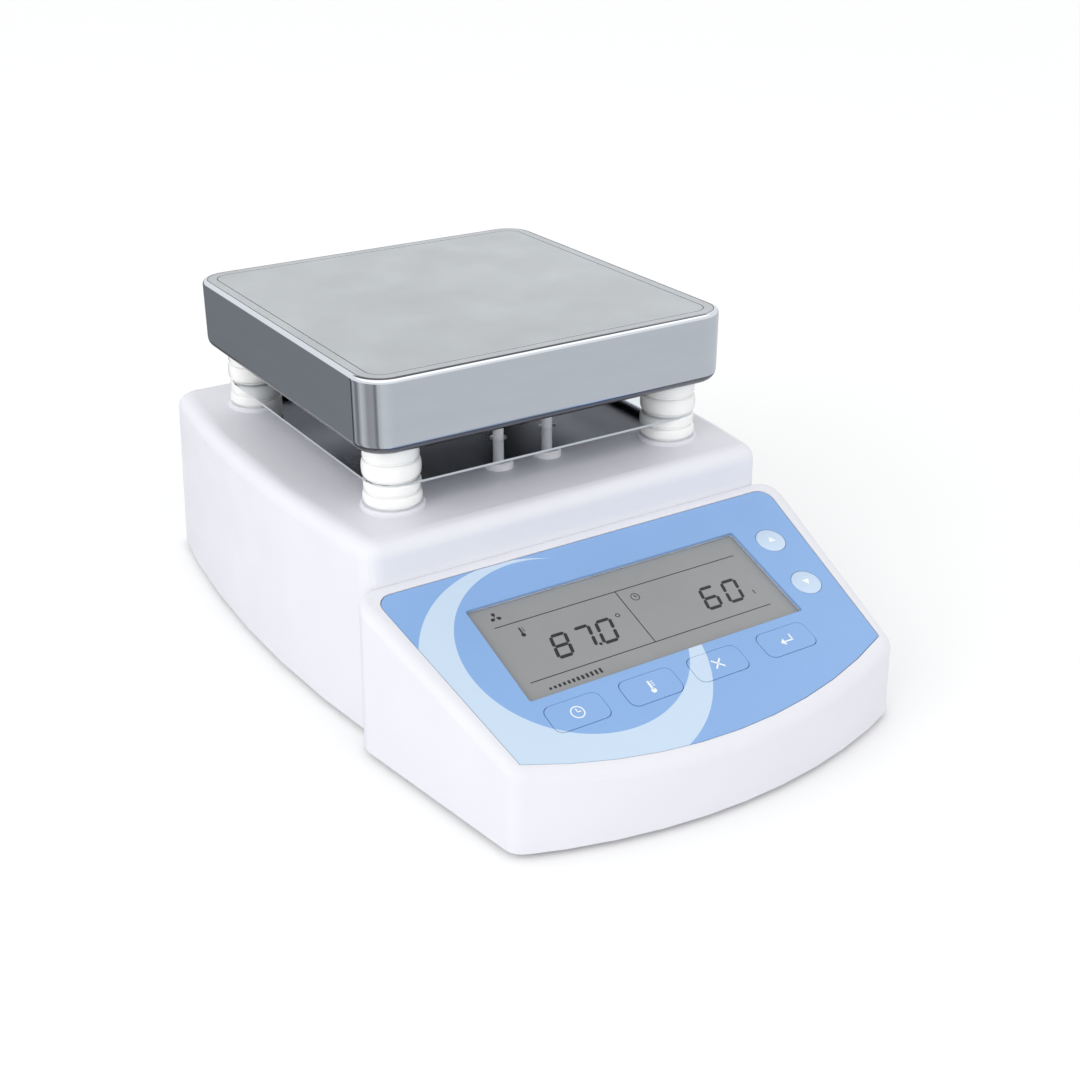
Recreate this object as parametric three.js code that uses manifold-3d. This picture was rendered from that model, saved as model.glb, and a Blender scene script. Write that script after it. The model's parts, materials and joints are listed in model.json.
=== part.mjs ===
// Magnetic stirrer with a square hotplate.
//
// A stainless hotplate stands on four pairs of porcelain insulators above a moulded
// housing, with a polished heat shield between the pairs. The housing holds the stirring
// motor and its drive magnets, the electronics and, in a bay at the back, the mains inlet
// and the power switch. The control section in front of it carries the sloping panel with
// the display window and six keys.
//
// Millimetres. X points to the right, Y to the back, Z up. The origin lies on the bench,
// in the middle of the object's footprint.

import * as THREE from 'three';
import { mergeVertices } from 'three/addons/utils/BufferGeometryUtils.js';
import Module from 'manifold-3d';

const wasm = await Module();
wasm.setup();

// ---------------------------------------------------------------- driving dimensions

const overallHeight = 125;          // bench to the top of the hotplate
const footDrop = 2;                 // how far the feet stand below the housing's rim
const fitGap = 0.3;                 // usual clearance between two assembled pieces

const plateSize = 150;              // side of the square hotplate
const plateY = 40;                  // the hotplate's centre, behind the origin
const capHeight = 27;               // height of the hotplate's visible skirt
const capCorner = 13;               // radius of its upright corners
const capEdge = 3;                  // radius of its top and bottom edges
const sheet = 1.5;                  // sheet thickness of the hotplate's cap

const housingTop = 73.5;            // flat top of the housing
const wall = 2.5;                   // wall of the mouldings
const rearHalfWidth = 90.5;         // half the width of the rear section, at plateY
const sideRadius = 575;             // its sides bow out on this radius
const rearFoot = 145;               // rear wall at the bench ...
const rearHead = 133;               // ... and at the housing's top
const riserY = -47;                 // front wall of the rear section, above the panel
const noseBack = -44;               // the control section reaches this far into it
const topRound = 6;                 // radius along the housing's top edge
const panelRound = 3.5;             // radius round the control panel

const frontHalfWidth = 91.6;        // control section where it meets the rear section
const noseHalfWidth = 78.4;         // control section at its front corners
const noseCornerY = -129;           // front corners
const noseY = -145;                 // middle of the bowed front

const panelTilt = THREE.MathUtils.degToRad(19.07);
const panelY = -50.43;              // rear edge of the printed overlay
const panelZ = 57.34;               // height of the panel there
const overlayRecess = 1.6;          // depth of the panel's recess for the overlay

const insulatorOffset = 59;         // insulators from the hotplate's centre, in X and Y
const shieldZ = 84.3;               // middle of the heat shield
const shieldSize = 137.6;
const shieldCorner = 12;
const shieldSheet = 0.8;
const leadX = 10.5;                 // heater leads, left and right of the middle
const leadY = plateY - 49.5;

const bayFloorY = 131;              // floor of the connector bay in the rear wall
const bayZ = 30;                    // middle height of the bay
const bay = { width: 96, height: 38 };
const baseTop = 7;                  // upper face of the base plate
const baseSheet = 3;

const plateBottom = overallHeight - capHeight;
const coverZ = plateBottom + 3.1;   // underside of the hotplate's bottom cover
const coverSheet = 1;
const shieldTop = shieldZ + shieldSheet / 2;
const shieldBottom = shieldZ - shieldSheet / 2;
const ceiling = housingTop - wall;  // underside of the housing's top

// ---------------------------------------------------------------- materials

function finish(color, roughness, metalness) {
  return new THREE.MeshStandardMaterial({ color, roughness, metalness });
}

const whiteMoulding = finish(0xf0f0f6, 0.5, 0);
const stainless = finish(0xc5cacd, 0.28, 1);
const mirrorSteel = finish(0xd8dcdf, 0.06, 1);
const castAluminium = finish(0xa9acae, 0.5, 1);
const zincSteel = finish(0xb4b7b5, 0.4, 1);
const porcelain = finish(0xf8f8f6, 0.15, 0);
const ceramicFibre = finish(0xeae6dc, 0.95, 0);
const glassSleeve = finish(0xdcdee4, 0.7, 0);
const blueFilm = finish(0x8aaee0, 0.35, 0);
const paleBlueFilm = finish(0xc5d7eb, 0.35, 0);
const displayGrey = finish(0x929596, 0.2, 0);
const circuitGreen = finish(0x2c6b45, 0.5, 0);
const blackPlastic = finish(0x1c1d1f, 0.45, 0);
const blackRubber = finish(0x222222, 0.9, 0);
const ferrite = finish(0x3a3a3c, 0.6, 0.3);
const brass = finish(0xb99a4e, 0.3, 1);
const lamination = finish(0x6d6a66, 0.6, 0.6);

// ---------------------------------------------------------------- solids

// A closed geometry as a solid that can be cut and joined.
function solidOf(geometry) {
  const bare = geometry.clone();
  bare.deleteAttribute('normal');
  bare.deleteAttribute('uv');
  const merged = mergeVertices(bare, 1e-4);
  const triangles = [];
  for (let i = 0; i < merged.index.count; i += 3) {
    const [a, b, c] = [0, 1, 2].map((k) => merged.index.getX(i + k));
    if (a !== b && b !== c && c !== a) triangles.push(a, b, c);
  }
  return new wasm.Manifold(new wasm.Mesh({
    numProp: 3,
    vertProperties: new Float32Array(merged.attributes.position.array),
    triVerts: new Uint32Array(triangles),
  }));
}

function geometryOf(solid) {
  const mesh = solid.getMesh();
  const geometry = new THREE.BufferGeometry();
  geometry.setAttribute('position', new THREE.BufferAttribute(mesh.vertProperties, 3));
  geometry.setIndex(new THREE.BufferAttribute(mesh.triVerts, 1));
  geometry.computeVertexNormals();
  return geometry;
}

const joined = (first, ...others) => others.reduce((sum, solid) => sum.add(solid), first);
const cut = (first, ...others) => others.reduce((rest, solid) => rest.subtract(solid), first);

const stirrer = new THREE.Group();

// Puts one sub-part into a group, under its own name.
function addPart(group, name, solid, material) {
  const mesh = new THREE.Mesh(geometryOf(solid), material);
  mesh.name = name;
  group.add(mesh);
  return mesh;
}

// ---------------------------------------------------------------- basic shapes

function box(width, depth, height, x, y, z) {
  return solidOf(new THREE.BoxGeometry(width, depth, height).translate(x, y, z));
}

// An upright cylinder from one height to another.
function post(radius, x, y, bottom, top, sides = 16) {
  const cylinder = new THREE.CylinderGeometry(radius, radius, top - bottom, sides);
  return solidOf(cylinder.rotateX(Math.PI / 2).translate(x, y, (bottom + top) / 2));
}

// A cylinder that lies along X.
function axle(radius, length, x, y, z) {
  const cylinder = new THREE.CylinderGeometry(radius, radius, length, 12);
  return solidOf(cylinder.rotateZ(Math.PI / 2).translate(x, y, z));
}

// A body of revolution about Z from [radius, height] pairs, anticlockwise in the R-Z plane.
function turned(profile, x, y, sides = 16) {
  const points = profile.map(([radius, height]) => new THREE.Vector2(radius, height));
  const lathe = new THREE.LatheGeometry(points, sides);
  return solidOf(lathe.rotateX(Math.PI / 2).translate(x, y, 0));
}

// Replaces each corner that has a radius r by an arc; corners run anticlockwise.
function rounded(corners, steps = 4) {
  return corners.flatMap(({ x, y, r }, i) => {
    const here = new THREE.Vector2(x, y);
    if (!r) return [here];
    const before = corners.at(i - 1);
    const after = corners[(i + 1) % corners.length];
    const toBefore = new THREE.Vector2(before.x - x, before.y - y).normalize();
    const toAfter = new THREE.Vector2(after.x - x, after.y - y).normalize();
    const halfAngle = Math.acos(toBefore.dot(toAfter)) / 2;
    const inward = toBefore.clone().add(toAfter).normalize();
    const centre = here.clone().addScaledVector(inward, r / Math.sin(halfAngle));
    const start = here.clone().addScaledVector(toBefore, r / Math.tan(halfAngle)).sub(centre);
    const turn = Math.PI - 2 * halfAngle;
    return Array.from({ length: steps + 1 }, (_, k) =>
      start.clone().rotateAround(new THREE.Vector2(), (turn * k) / steps).add(centre));
  });
}

function roundedRectangle(width, depth, radius, steps = 4) {
  const [w, d] = [width / 2, depth / 2];
  return rounded([
    { x: -w, y: -d, r: radius }, { x: w, y: -d, r: radius },
    { x: w, y: d, r: radius }, { x: -w, y: d, r: radius },
  ], steps);
}

// Moves an outline's points inwards by a distance, along its normals.
function inset(outline, distance) {
  return outline.map((point, i) => {
    const before = outline.at(i - 1);
    const after = outline[(i + 1) % outline.length];
    const a = point.clone().sub(before).normalize();
    const b = after.clone().sub(point).normalize();
    const along = a.clone().add(b).normalize();
    const reach = distance / along.dot(b);
    return new THREE.Vector2(point.x - along.y * reach, point.y + along.x * reach);
  });
}

// A skin over rings of equally many points, closed by a flat cap at either end.
function loft(rings) {
  const count = rings[0].length;
  const positions = rings.flat().flatMap((point) => [point.x, point.y, point.z]);
  const index = [];
  for (let level = 0; level < rings.length - 1; level += 1) {
    for (let i = 0; i < count; i += 1) {
      const a = level * count + i;
      const b = level * count + ((i + 1) % count);
      index.push(a, b, b + count, a, b + count, a + count);
    }
  }
  const last = (rings.length - 1) * count;
  for (const [a, b, c] of capTriangles(rings[0])) index.push(a, c, b);
  for (const [a, b, c] of capTriangles(rings.at(-1))) index.push(last + a, last + b, last + c);
  const geometry = new THREE.BufferGeometry();
  geometry.setAttribute('position', new THREE.Float32BufferAttribute(positions, 3));
  geometry.setIndex(index);
  return solidOf(geometry);
}

function capTriangles(ring) {
  return THREE.ShapeUtils.triangulateShape(ring.map(({ x, y }) => new THREE.Vector2(x, y)), []);
}

const atHeight = (outline, z) => outline.map(({ x, y }) => new THREE.Vector3(x, y, z));

// An outline with holes, thickened from one height to another.
function slab(outline, bottom, top, holes = []) {
  const shape = new THREE.Shape(outline);
  shape.holes = holes.map((hole) => new THREE.Path(hole));
  const plate = new THREE.ExtrudeGeometry(shape, { depth: top - bottom, bevelEnabled: false });
  return solidOf(plate.translate(0, 0, bottom));
}

// The points of a round hole in a slab.
function circle(radius, x, y, sides = 12) {
  return Array.from({ length: sides }, (_, i) => {
    const angle = (i / sides) * Math.PI * 2;
    return new THREE.Vector2(x + radius * Math.cos(angle), y + radius * Math.sin(angle));
  });
}

const moved = (outline, x, y) => outline.map((p) => new THREE.Vector2(p.x + x, p.y + y));

// Quarter-round steps from a wall into a top face: how far in, how far down.
function edgeRound(radius, steps) {
  return Array.from({ length: steps + 1 }, (_, k) => {
    const angle = (k / steps) * (Math.PI / 2);
    return { inward: radius * (1 - Math.cos(angle)), down: radius * (1 - Math.sin(angle)) };
  });
}

// The four corner places around the hotplate's centre, with the names used for them.
const corners = [
  { place: 'front_left', x: -1, y: -1 },
  { place: 'front_right', x: 1, y: -1 },
  { place: 'rear_left', x: -1, y: 1 },
  { place: 'rear_right', x: 1, y: 1 },
].map((corner) => ({
  ...corner,
  standX: corner.x * insulatorOffset,
  standY: plateY + corner.y * insulatorOffset,
}));

// ---------------------------------------------------------------- the panel's own frame

// Local X runs along the panel, local -Y down its slope, local Z out of it.
const panel = new THREE.Group();
panel.position.set(0, panelY, panelZ);
panel.rotation.x = panelTilt;
panel.updateMatrix();
stirrer.add(panel);

const onPanel = (solid) => solid.transform(panel.matrix.toArray());

const overlayRearHalf = 83.2;
const overlayFrontHalf = 73.4;
const overlaySide = 79;             // down the slope to the overlay's front corners
const overlayBow = 15.3;            // the front edge bows out by this much more
const overlaySheet = 1.1;
const overlaySink = 0.2;            // the overlay lies this far below the panel's rim
const windowLeft = -57.6;
const windowRight = 55.2;
const windowRear = 15.8;            // distances down the slope
const windowFront = 58.5;
const keyTravel = 0.5;

const keys = [
  { name: 'up_key', x: 66.8, slope: 24.7, round: 5.6 },
  { name: 'down_key', x: 65.6, slope: 47.6, round: 5.6 },
  { name: 'time_key', x: -45.6, slope: 68 },
  { name: 'temperature_key', x: -17, slope: 68 },
  { name: 'exit_key', x: 10.5, slope: 68 },
  { name: 'enter_key', x: 40.1, slope: 68 },
];
const barKey = { width: 21, depth: 11, corner: 3 };
const keyStem = { radius: 2.6, flange: 3.9, flangeTop: -4.3, flangeBottom: -5.1 };

// Points of a shallow arc from one end to the other, bowed towards -Y; ends left out.
function bow(halfWidth, cornerY, middleY, steps) {
  const sagitta = cornerY - middleY;
  const radius = (halfWidth ** 2 + sagitta ** 2) / (2 * sagitta);
  return Array.from({ length: steps - 1 }, (_, k) => {
    const x = halfWidth * (-1 + (2 * (k + 1)) / steps);
    return { x, y: middleY + radius - Math.sqrt(radius ** 2 - x ** 2) };
  });
}

function overlayOutline() {
  return rounded([
    { x: -overlayFrontHalf, y: -overlaySide },
    ...bow(overlayFrontHalf, -overlaySide, -overlaySide - overlayBow, 10),
    { x: overlayFrontHalf, y: -overlaySide },
    { x: overlayRearHalf, y: 0, r: 5 },
    { x: -overlayRearHalf, y: 0, r: 5 },
  ]);
}

function windowOutline(gap) {
  const width = windowRight - windowLeft - 2 * gap;
  const depth = windowFront - windowRear - 2 * gap;
  const outline = roundedRectangle(width, depth, 0.8, 3);
  return moved(outline, (windowLeft + windowRight) / 2, -(windowRear + windowFront) / 2);
}

function keyOutline(key, gap) {
  if (key.round) return circle(key.round + gap, key.x, -key.slope, 24);
  const outline = roundedRectangle(barKey.width + 2 * gap, barKey.depth + 2 * gap, barKey.corner);
  return moved(outline, key.x, -key.slope);
}

// ---------------------------------------------------------------- housing

// Plan of the rear section at a height: bowed sides, and a rear wall that leans.
function rearPlan(z) {
  const lean = (rearFoot - rearHead) / (housingTop - footDrop);
  const rearY = rearFoot - (z - footDrop) * lean;
  const halfWidth = (y) => rearHalfWidth - (y - plateY) ** 2 / (2 * sideRadius);
  const steps = 6;
  const side = Array.from({ length: steps - 1 }, (_, k) => {
    const y = riserY + ((k + 1) * (rearY - riserY)) / steps;
    return { x: halfWidth(y), y };
  });
  return rounded([
    { x: -halfWidth(riserY), y: riserY, r: 8 },
    { x: halfWidth(riserY), y: riserY, r: 8 },
    ...side,
    { x: halfWidth(rearY), y: rearY, r: 10 },
    { x: -halfWidth(rearY), y: rearY, r: 10 },
    ...side.toReversed().map(({ x, y }) => ({ x: -x, y })),
  ]);
}

// Plan of the control section: it narrows to a bowed front.
function nosePlan() {
  return rounded([
    { x: -noseHalfWidth, y: noseCornerY, r: 7 },
    ...bow(noseHalfWidth, noseCornerY, noseY, 10),
    { x: noseHalfWidth, y: noseCornerY, r: 7 },
    { x: frontHalfWidth, y: noseBack, r: 9 },
    { x: -frontHalfWidth, y: noseBack, r: 9 },
  ]);
}

const panelHeight = (y) => panelZ + (y - panelY) * Math.tan(panelTilt);

function rearBlock() {
  const draft = 1;                  // the walls lean in by this much up to the top
  const rings = [atHeight(rearPlan(footDrop), footDrop)];
  for (const { inward, down } of edgeRound(topRound, 4)) {
    const z = housingTop - down;
    rings.push(atHeight(inset(rearPlan(z), draft + inward), z));
  }
  return loft(rings);
}

function noseBlock() {
  const draft = 0.8;
  const rings = [atHeight(nosePlan(), footDrop)];
  for (const { inward, down } of edgeRound(panelRound, 3)) {
    const outline = inset(nosePlan(), draft + inward);
    rings.push(outline.map(({ x, y }) => new THREE.Vector3(x, y, panelHeight(y) - down)));
  }
  return loft(rings);
}

// The room inside the shell, open at the bottom; the bay's walls stand in it.
function housingRoom() {
  const below = footDrop - 1;
  const rear = loft([
    atHeight(inset(rearPlan(footDrop), wall), below),
    atHeight(inset(rearPlan(ceiling - 3.5), wall + 1), ceiling - 3.5),
    atHeight(inset(rearPlan(ceiling - 1), wall + 2), ceiling - 1),
    atHeight(inset(rearPlan(ceiling), wall + 4), ceiling),
  ]);
  const underPanel = (overlayRecess + 2.2) / Math.cos(panelTilt);
  const noseOutline = inset(nosePlan(), wall);
  const noseTop = inset(nosePlan(), wall + 2);
  const nose = loft([
    atHeight(noseOutline, below),
    noseOutline.map(({ x, y }) => new THREE.Vector3(x, y, panelHeight(y) - underPanel - 2)),
    noseTop.map(({ x, y }) => new THREE.Vector3(x, y, panelHeight(y) - underPanel)),
  ]);
  const passage = box(150, 12, 48, 0, riserY, below + 24);
  const bayWalls = box(bay.width + 2 * wall, 40, bay.height + 2 * wall,
    0, bayFloorY - wall + 20, bayZ);
  return cut(joined(rear, nose, passage), bayWalls);
}

const screwPosts = [
  { x: -77, y: -84 }, { x: 77, y: -84 }, { x: -74, y: 119 }, { x: 74, y: 119 },
];
const postRadius = 4.5;
const screwHole = 1.9;
const standPad = { radius: 11.5, height: 1.5, edge: 0.6 };
const grommetHole = 4.6;
const studHole = 2.9;

function screwPost({ x, y }) {
  const top = y < riserY ? panelHeight(y) - 4 : ceiling + 1;
  return post(postRadius, x, y, baseTop + fitGap, top, 12);
}

// The raised ring that each lower insulator stands on.
function insulatorPad({ standX, standY }) {
  const { radius, height, edge } = standPad;
  const top = housingTop + height;
  return turned([
    [0, housingTop - 1], [radius, housingTop - 1], [radius, top - edge], [radius - edge, top],
    [0, top],
  ], standX, standY);
}

function upperHousing() {
  let shell = cut(joined(rearBlock(), noseBlock()), housingRoom());
  shell = joined(shell, ...screwPosts.map(screwPost), ...corners.map(insulatorPad));

  const bayOutline = roundedRectangle(bay.width, bay.height, 4);
  const cutters = [onRearWall(slab(bayOutline, 0, 30))];
  cutters.push(...screwPosts.map(({ x, y }) => post(screwHole, x, y, 0, 20, 8)));
  cutters.push(...corners.map(({ standX, standY }) =>
    post(studHole, standX, standY, ceiling - 5, housingTop + 5, 12)));
  cutters.push(...[-leadX, leadX].map((x) =>
    post(grommetHole, x, leadY, ceiling - 5, housingTop + 5, 14)));

  const recess = inset(overlayOutline(), -fitGap);
  cutters.push(onPanel(slab(recess, -overlayRecess, 5)));
  cutters.push(onPanel(slab(windowOutline(0), -10, 1)));
  cutters.push(...keys.map(({ x, slope }) =>
    onPanel(post(keyStem.radius + fitGap, x, -slope, -10, 1, 12))));

  cutters.push(onRearWall(slab(moved(inletBody(fitGap), inlet.x, 0), -10, 5)));
  cutters.push(onRearWall(slab(moved(switchBody(fitGap), rocker.x, 0), -10, 5)));
  return cut(shell, ...cutters);
}

// ---------------------------------------------------------------- base plate and feet

const feet = [
  { place: 'front_left', x: -64, y: -104 },
  { place: 'front_right', x: 64, y: -104 },
  { place: 'rear_left', x: -70, y: 98 },
  { place: 'rear_right', x: 70, y: 98 },
];
const footStem = 3;

function basePlate() {
  const bottom = baseTop - baseSheet;
  const rear = slab(inset(rearPlan(baseTop), wall + fitGap + 0.2), bottom, baseTop);
  const nose = slab(inset(nosePlan(), wall + fitGap + 0.2), bottom, baseTop);
  const bridge = box(150, 16, baseSheet, 0, riserY, baseTop - baseSheet / 2);
  const stiffeners = [-30, 30].map((x) => box(2, 150, 3, x, 25, baseTop + 1.5));
  const vents = [];
  for (let row = 0; row < 2; row += 1) {
    for (let i = 0; i < 5; i += 1) {
      const slot = roundedRectangle(4, 26, 1.9, 2);
      vents.push(slab(moved(slot, (i - 2) * 10, 20 + row * 40), bottom - 1, baseTop + 1));
    }
  }
  const holes = [
    ...feet.map(({ x, y }) => post(footStem + fitGap, x, y, bottom - 1, baseTop + 1, 12)),
    ...screwPosts.map(({ x, y }) => post(screwHole + 0.2, x, y, bottom - 1, baseTop + 1, 8)),
  ];
  return cut(joined(rear, nose, bridge, ...stiffeners), ...vents, ...holes);
}

// A rubber foot, pushed through the base plate as far as its barb.
function foot(x, y) {
  const bottom = baseTop - baseSheet;
  const radius = 9;
  return turned([
    [0, 0], [radius - 1.5, 0], [radius, 1], [radius, bottom], [footStem, bottom],
    [footStem, baseTop + 0.1], [footStem + 1, baseTop + 0.6], [footStem - 0.6, baseTop + 2.5],
    [0, baseTop + 2.5],
  ], x, y, 16);
}

// ---------------------------------------------------------------- hotplate

// A square with round corners, centred under the hotplate.
function squarePlan(halfSide, corner) {
  return moved(roundedRectangle(2 * halfSide, 2 * halfSide, corner, 4), 0, plateY);
}

// The fine groove that frames the top face.
const frame = { inward: 5.4, depth: 0.35 };

// The pressed cap: inside of its top, down the wall, round the rolled lip, and up again
// outside to the top face and its groove.
function hotplateCap() {
  const plan = squarePlan(plateSize / 2, capCorner);
  const top = overallHeight;
  const edge = edgeRound(capEdge, 3);
  const lip = capEdge + 0.6;
  const profile = [
    [sheet + 3, top - sheet], [sheet, top - sheet - 3], [sheet, coverZ - 0.1],
    [sheet + 0.9, plateBottom + sheet], [lip, plateBottom + 1], [lip, plateBottom],
    ...edge.toReversed().map(({ inward, down }) => [inward, plateBottom + down]),
    ...edge.map(({ inward, down }) => [inward, top - down]),
    [frame.inward, top], [frame.inward + 0.2, top - frame.depth],
    [frame.inward + 0.6, top - frame.depth], [frame.inward + 0.8, top],
  ];
  return loft(profile.map(([inward, z]) => atHeight(inset(plan, inward), z)));
}

const heaterBlock = { half: 70, corner: 8, bottom: 114, top: 123.2 };
const element = { radius: 2.8, z: 110.2 };

function heaterPlate() {
  const { half, corner, bottom, top } = heaterBlock;
  const plate = slab(squarePlan(half, corner), bottom, top);
  const probeBore = solidOf(new THREE.CylinderGeometry(2.8, 2.8, 50, 20)
    .translate(0, plateY + half - 20, (bottom + top) / 2));
  return cut(plate, probeBore);
}

// The tubular heating element: up from one lead, once round the plate, down to the other.
function heatingElement() {
  const { radius, z } = element;
  const loop = 47;
  const start = coverZ + 3;
  const front = leadY;
  const rear = plateY + loop;
  const side = [
    [leadX, front, start], [leadX, front, z - 2.5], [leadX + 3, front, z], [38, front, z],
    [loop, front + 9, z], [loop, plateY, z], [loop, rear - 9, z], [38, rear, z], [0, rear, z],
  ];
  const mirrored = side.slice(0, -1).toReversed().map(([x, y, height]) => [-x, y, height]);
  const route = [...side, ...mirrored].map((point) => new THREE.Vector3(...point));
  const curve = new THREE.CatmullRomCurve3(route, false, 'centripetal');
  const section = new THREE.Shape(circle(radius, 0, 0, 8));
  const tube = { steps: 36, extrudePath: curve, bevelEnabled: false };
  return solidOf(new THREE.ExtrudeGeometry(section, tube));
}

function insulationPad() {
  const holes = [
    ...corners.map(({ standX, standY }) => circle(6.5, standX, standY)),
    circle(5, -leadX, leadY), circle(5, leadX, leadY),
  ];
  return slab(squarePlan(70, 6), coverZ + coverSheet + fitGap, element.z - element.radius - 0.4,
    holes);
}

function bottomCover() {
  const holes = [
    ...corners.map(({ standX, standY }) => circle(studHole, standX, standY)),
    circle(2.6, -leadX, leadY), circle(2.6, leadX, leadY),
  ];
  const rim = sheet + fitGap;
  return slab(squarePlan(plateSize / 2 - rim, capCorner - rim), coverZ, coverZ + coverSheet, holes);
}

function temperatureSensor() {
  const { half, bottom, top } = heaterBlock;
  const length = 40;
  return solidOf(new THREE.CylinderGeometry(2.5, 2.5, length, 20)
    .translate(0, plateY + half - length / 2 - 1, (bottom + top) / 2));
}

// ---------------------------------------------------------------- stand-offs and heat shield

const beadBore = 2.9;
const bead = { rim: 10, neck: 9.1, bulge: 10.5 };
const upperRim = 8.8;               // heights of the rims above the beads' grooves
const lowerRim = 3.5;

// One porcelain bead between two heights: a rim, a fine groove and a full round bulge.
function porcelainBead(x, y, bottom, top, rimHeight) {
  const groove = top - rimHeight;
  const bulgeTop = groove - 1;
  const middle = (bulgeTop + bottom) / 2;
  const half = (bulgeTop - bottom) / 2;
  const bulge = [-50, 0, 50].map((angle) => {
    const turn = THREE.MathUtils.degToRad(angle);
    const spread = bead.bulge - bead.neck;
    return [bead.neck + spread * Math.sqrt(Math.cos(turn)), middle + half * Math.sin(turn)];
  });
  return turned([
    [beadBore, bottom], [bead.neck, bottom], ...bulge, [bead.neck, groove],
    [bead.rim, groove + 0.5], [bead.rim, top], [beadBore, top], [beadBore, bottom],
  ], x, y, 14);
}

function heatShield() {
  const holes = corners.map(({ standX, standY }) => circle(3.3, standX, standY));
  for (const x of [-leadX, leadX]) holes.push(circle(3.4, x, leadY));
  const half = shieldSize / 2;
  return slab(squarePlan(half, shieldCorner), shieldBottom, shieldTop, holes);
}

const studRadius = 2.5;
const studTop = coverZ + coverSheet;

// A stud with a round head inside the hotplate; it clamps the whole stack to the housing.
function stud(x, y) {
  const seat = studTop + 0.05;
  const head = 4.6;
  return turned([
    [0, ceiling - 8], [studRadius, ceiling - 8], [studRadius, seat],
    [head, seat], [head, seat + 3], [head - 0.6, seat + 3.6], [0, seat + 3.6],
  ], x, y, 16);
}

function studNut(x, y) {
  const top = ceiling - 0.1;
  const hexagon = moved(circle(4.6, 0, 0, 6), x, y);
  return slab(hexagon, top - 4, top, [circle(studRadius + 0.15, x, y)]);
}

// ---------------------------------------------------------------- heater leads

const sleeveRadius = 2;

function leadSleeve(x) {
  return post(sleeveRadius, x, leadY, ceiling - 6, coverZ + coverSheet + 1, 12);
}

// The grommet that leads a sleeve through the housing's top: barb, neck and flange.
function leadGrommet(x) {
  const top = housingTop + 2.8;
  const barb = ceiling - 0.1;
  const [bore, neck, flange] = [3.4, grommetHole - 0.2, 5.6];
  return turned([
    [bore, barb - 1.3], [neck + 0.5, barb - 1.3], [neck + 0.9, barb], [neck, barb],
    [neck, housingTop], [flange, housingTop], [flange, top - 0.6], [flange - 0.6, top],
    [bore + 0.8, top], [bore, top - 0.7], [bore, barb - 1.3],
  ], x, leadY, 14);
}

// ---------------------------------------------------------------- control panel

function panelOverlay() {
  const holes = [windowOutline(0), ...keys.map((key) => keyOutline(key, 0.2))];
  const top = -overlaySink;
  return slab(overlayOutline(), top - overlaySheet, top, holes);
}

// A key's cap lies in the overlay; its stem ends in a flange under the panel.
function keySolid(key) {
  const { radius, flange, flangeTop, flangeBottom } = keyStem;
  const stem = turned([
    [0, flangeBottom], [flange, flangeBottom], [flange, flangeTop], [radius, flangeTop],
    [radius, -0.5], [0, -0.5],
  ], key.x, -key.slope, 12);
  const top = -0.1;
  const capBottom = -overlayRecess + keyTravel + 0.2;
  if (key.round) {
    const dome = turned([
      [0, capBottom], [key.round, capBottom], [key.round, top - 0.1], [key.round - 0.5, top + 0.15],
      [key.round * 0.6, top + 0.32], [0, top + 0.4],
    ], key.x, -key.slope, 24);
    return joined(stem, dome);
  }
  return joined(stem, slab(keyOutline(key, 0), capBottom, top));
}

const displayTop = -1.7;            // the display's face, below the panel's rim
const panelUnderside = -overlayRecess - 2.2;
const boardZ = -12.2;

function displayGlass() {
  return slab(windowOutline(fitGap), panelUnderside - fitGap, displayTop);
}

// A frame under the panel; four legs carry it on the control board.
function displayFrame() {
  const outline = inset(windowOutline(0), -4);
  const top = panelUnderside - 2 * fitGap;
  const frame = slab(outline, top - 5, top);
  const legs = outlineCorners(6).map(([x, y]) => post(1.5, x, y, boardZ + 1.7, top - 4.9, 12));
  return joined(frame, ...legs);
}

function outlineCorners(margin) {
  return [windowLeft + margin, windowRight - margin].flatMap((x) =>
    [-windowRear - margin, -windowFront + margin].map((y) => [x, y]));
}

// The board under the panel, with a switch below every key.
function controlBoard() {
  const half = 71;
  const board = slab(moved(roundedRectangle(2 * half, 68, 2, 2), 0, -44), boardZ, boardZ + 1.6);
  const switchTop = keyStem.flangeBottom - keyTravel - 0.1;
  const switches = keys.flatMap(({ x, slope }) => [
    box(6, 6, 4, x, -slope, boardZ + 3.5),
    post(1.7, x, -slope, boardZ + 5, switchTop, 8),
  ]);
  const chip = box(14, 14, 2.2, -20, -40, boardZ - 1);
  const connector = box(24, 6, 6, 20, -20, boardZ - 2.9);
  return joined(board, ...switches, chip, connector);
}

// ---------------------------------------------------------------- stirring drive

const motor = { radius: 24, bottom: 14, top: 46 };
const bracketSheet = 2;
const yoke = { radius: 30, bottom: 57, top: 61 };
const magnetTop = ceiling - 1.6;
const shaftRadius = 2.5;
const runningFit = 0.1;

function motorBody() {
  const { radius, bottom, top } = motor;
  return turned([
    [0, bottom - 3], [8, bottom - 3], [8, bottom], [radius - 1.5, bottom],
    [radius, bottom + 1.5], [radius, top - 1.5], [radius - 1.5, top],
    [7.5, top], [7.5, top + 3.5], [shaftRadius + runningFit, top + 3.5],
    [shaftRadius + runningFit, bottom + 2], [0, bottom + 2],
  ], 0, plateY, 24);
}

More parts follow.
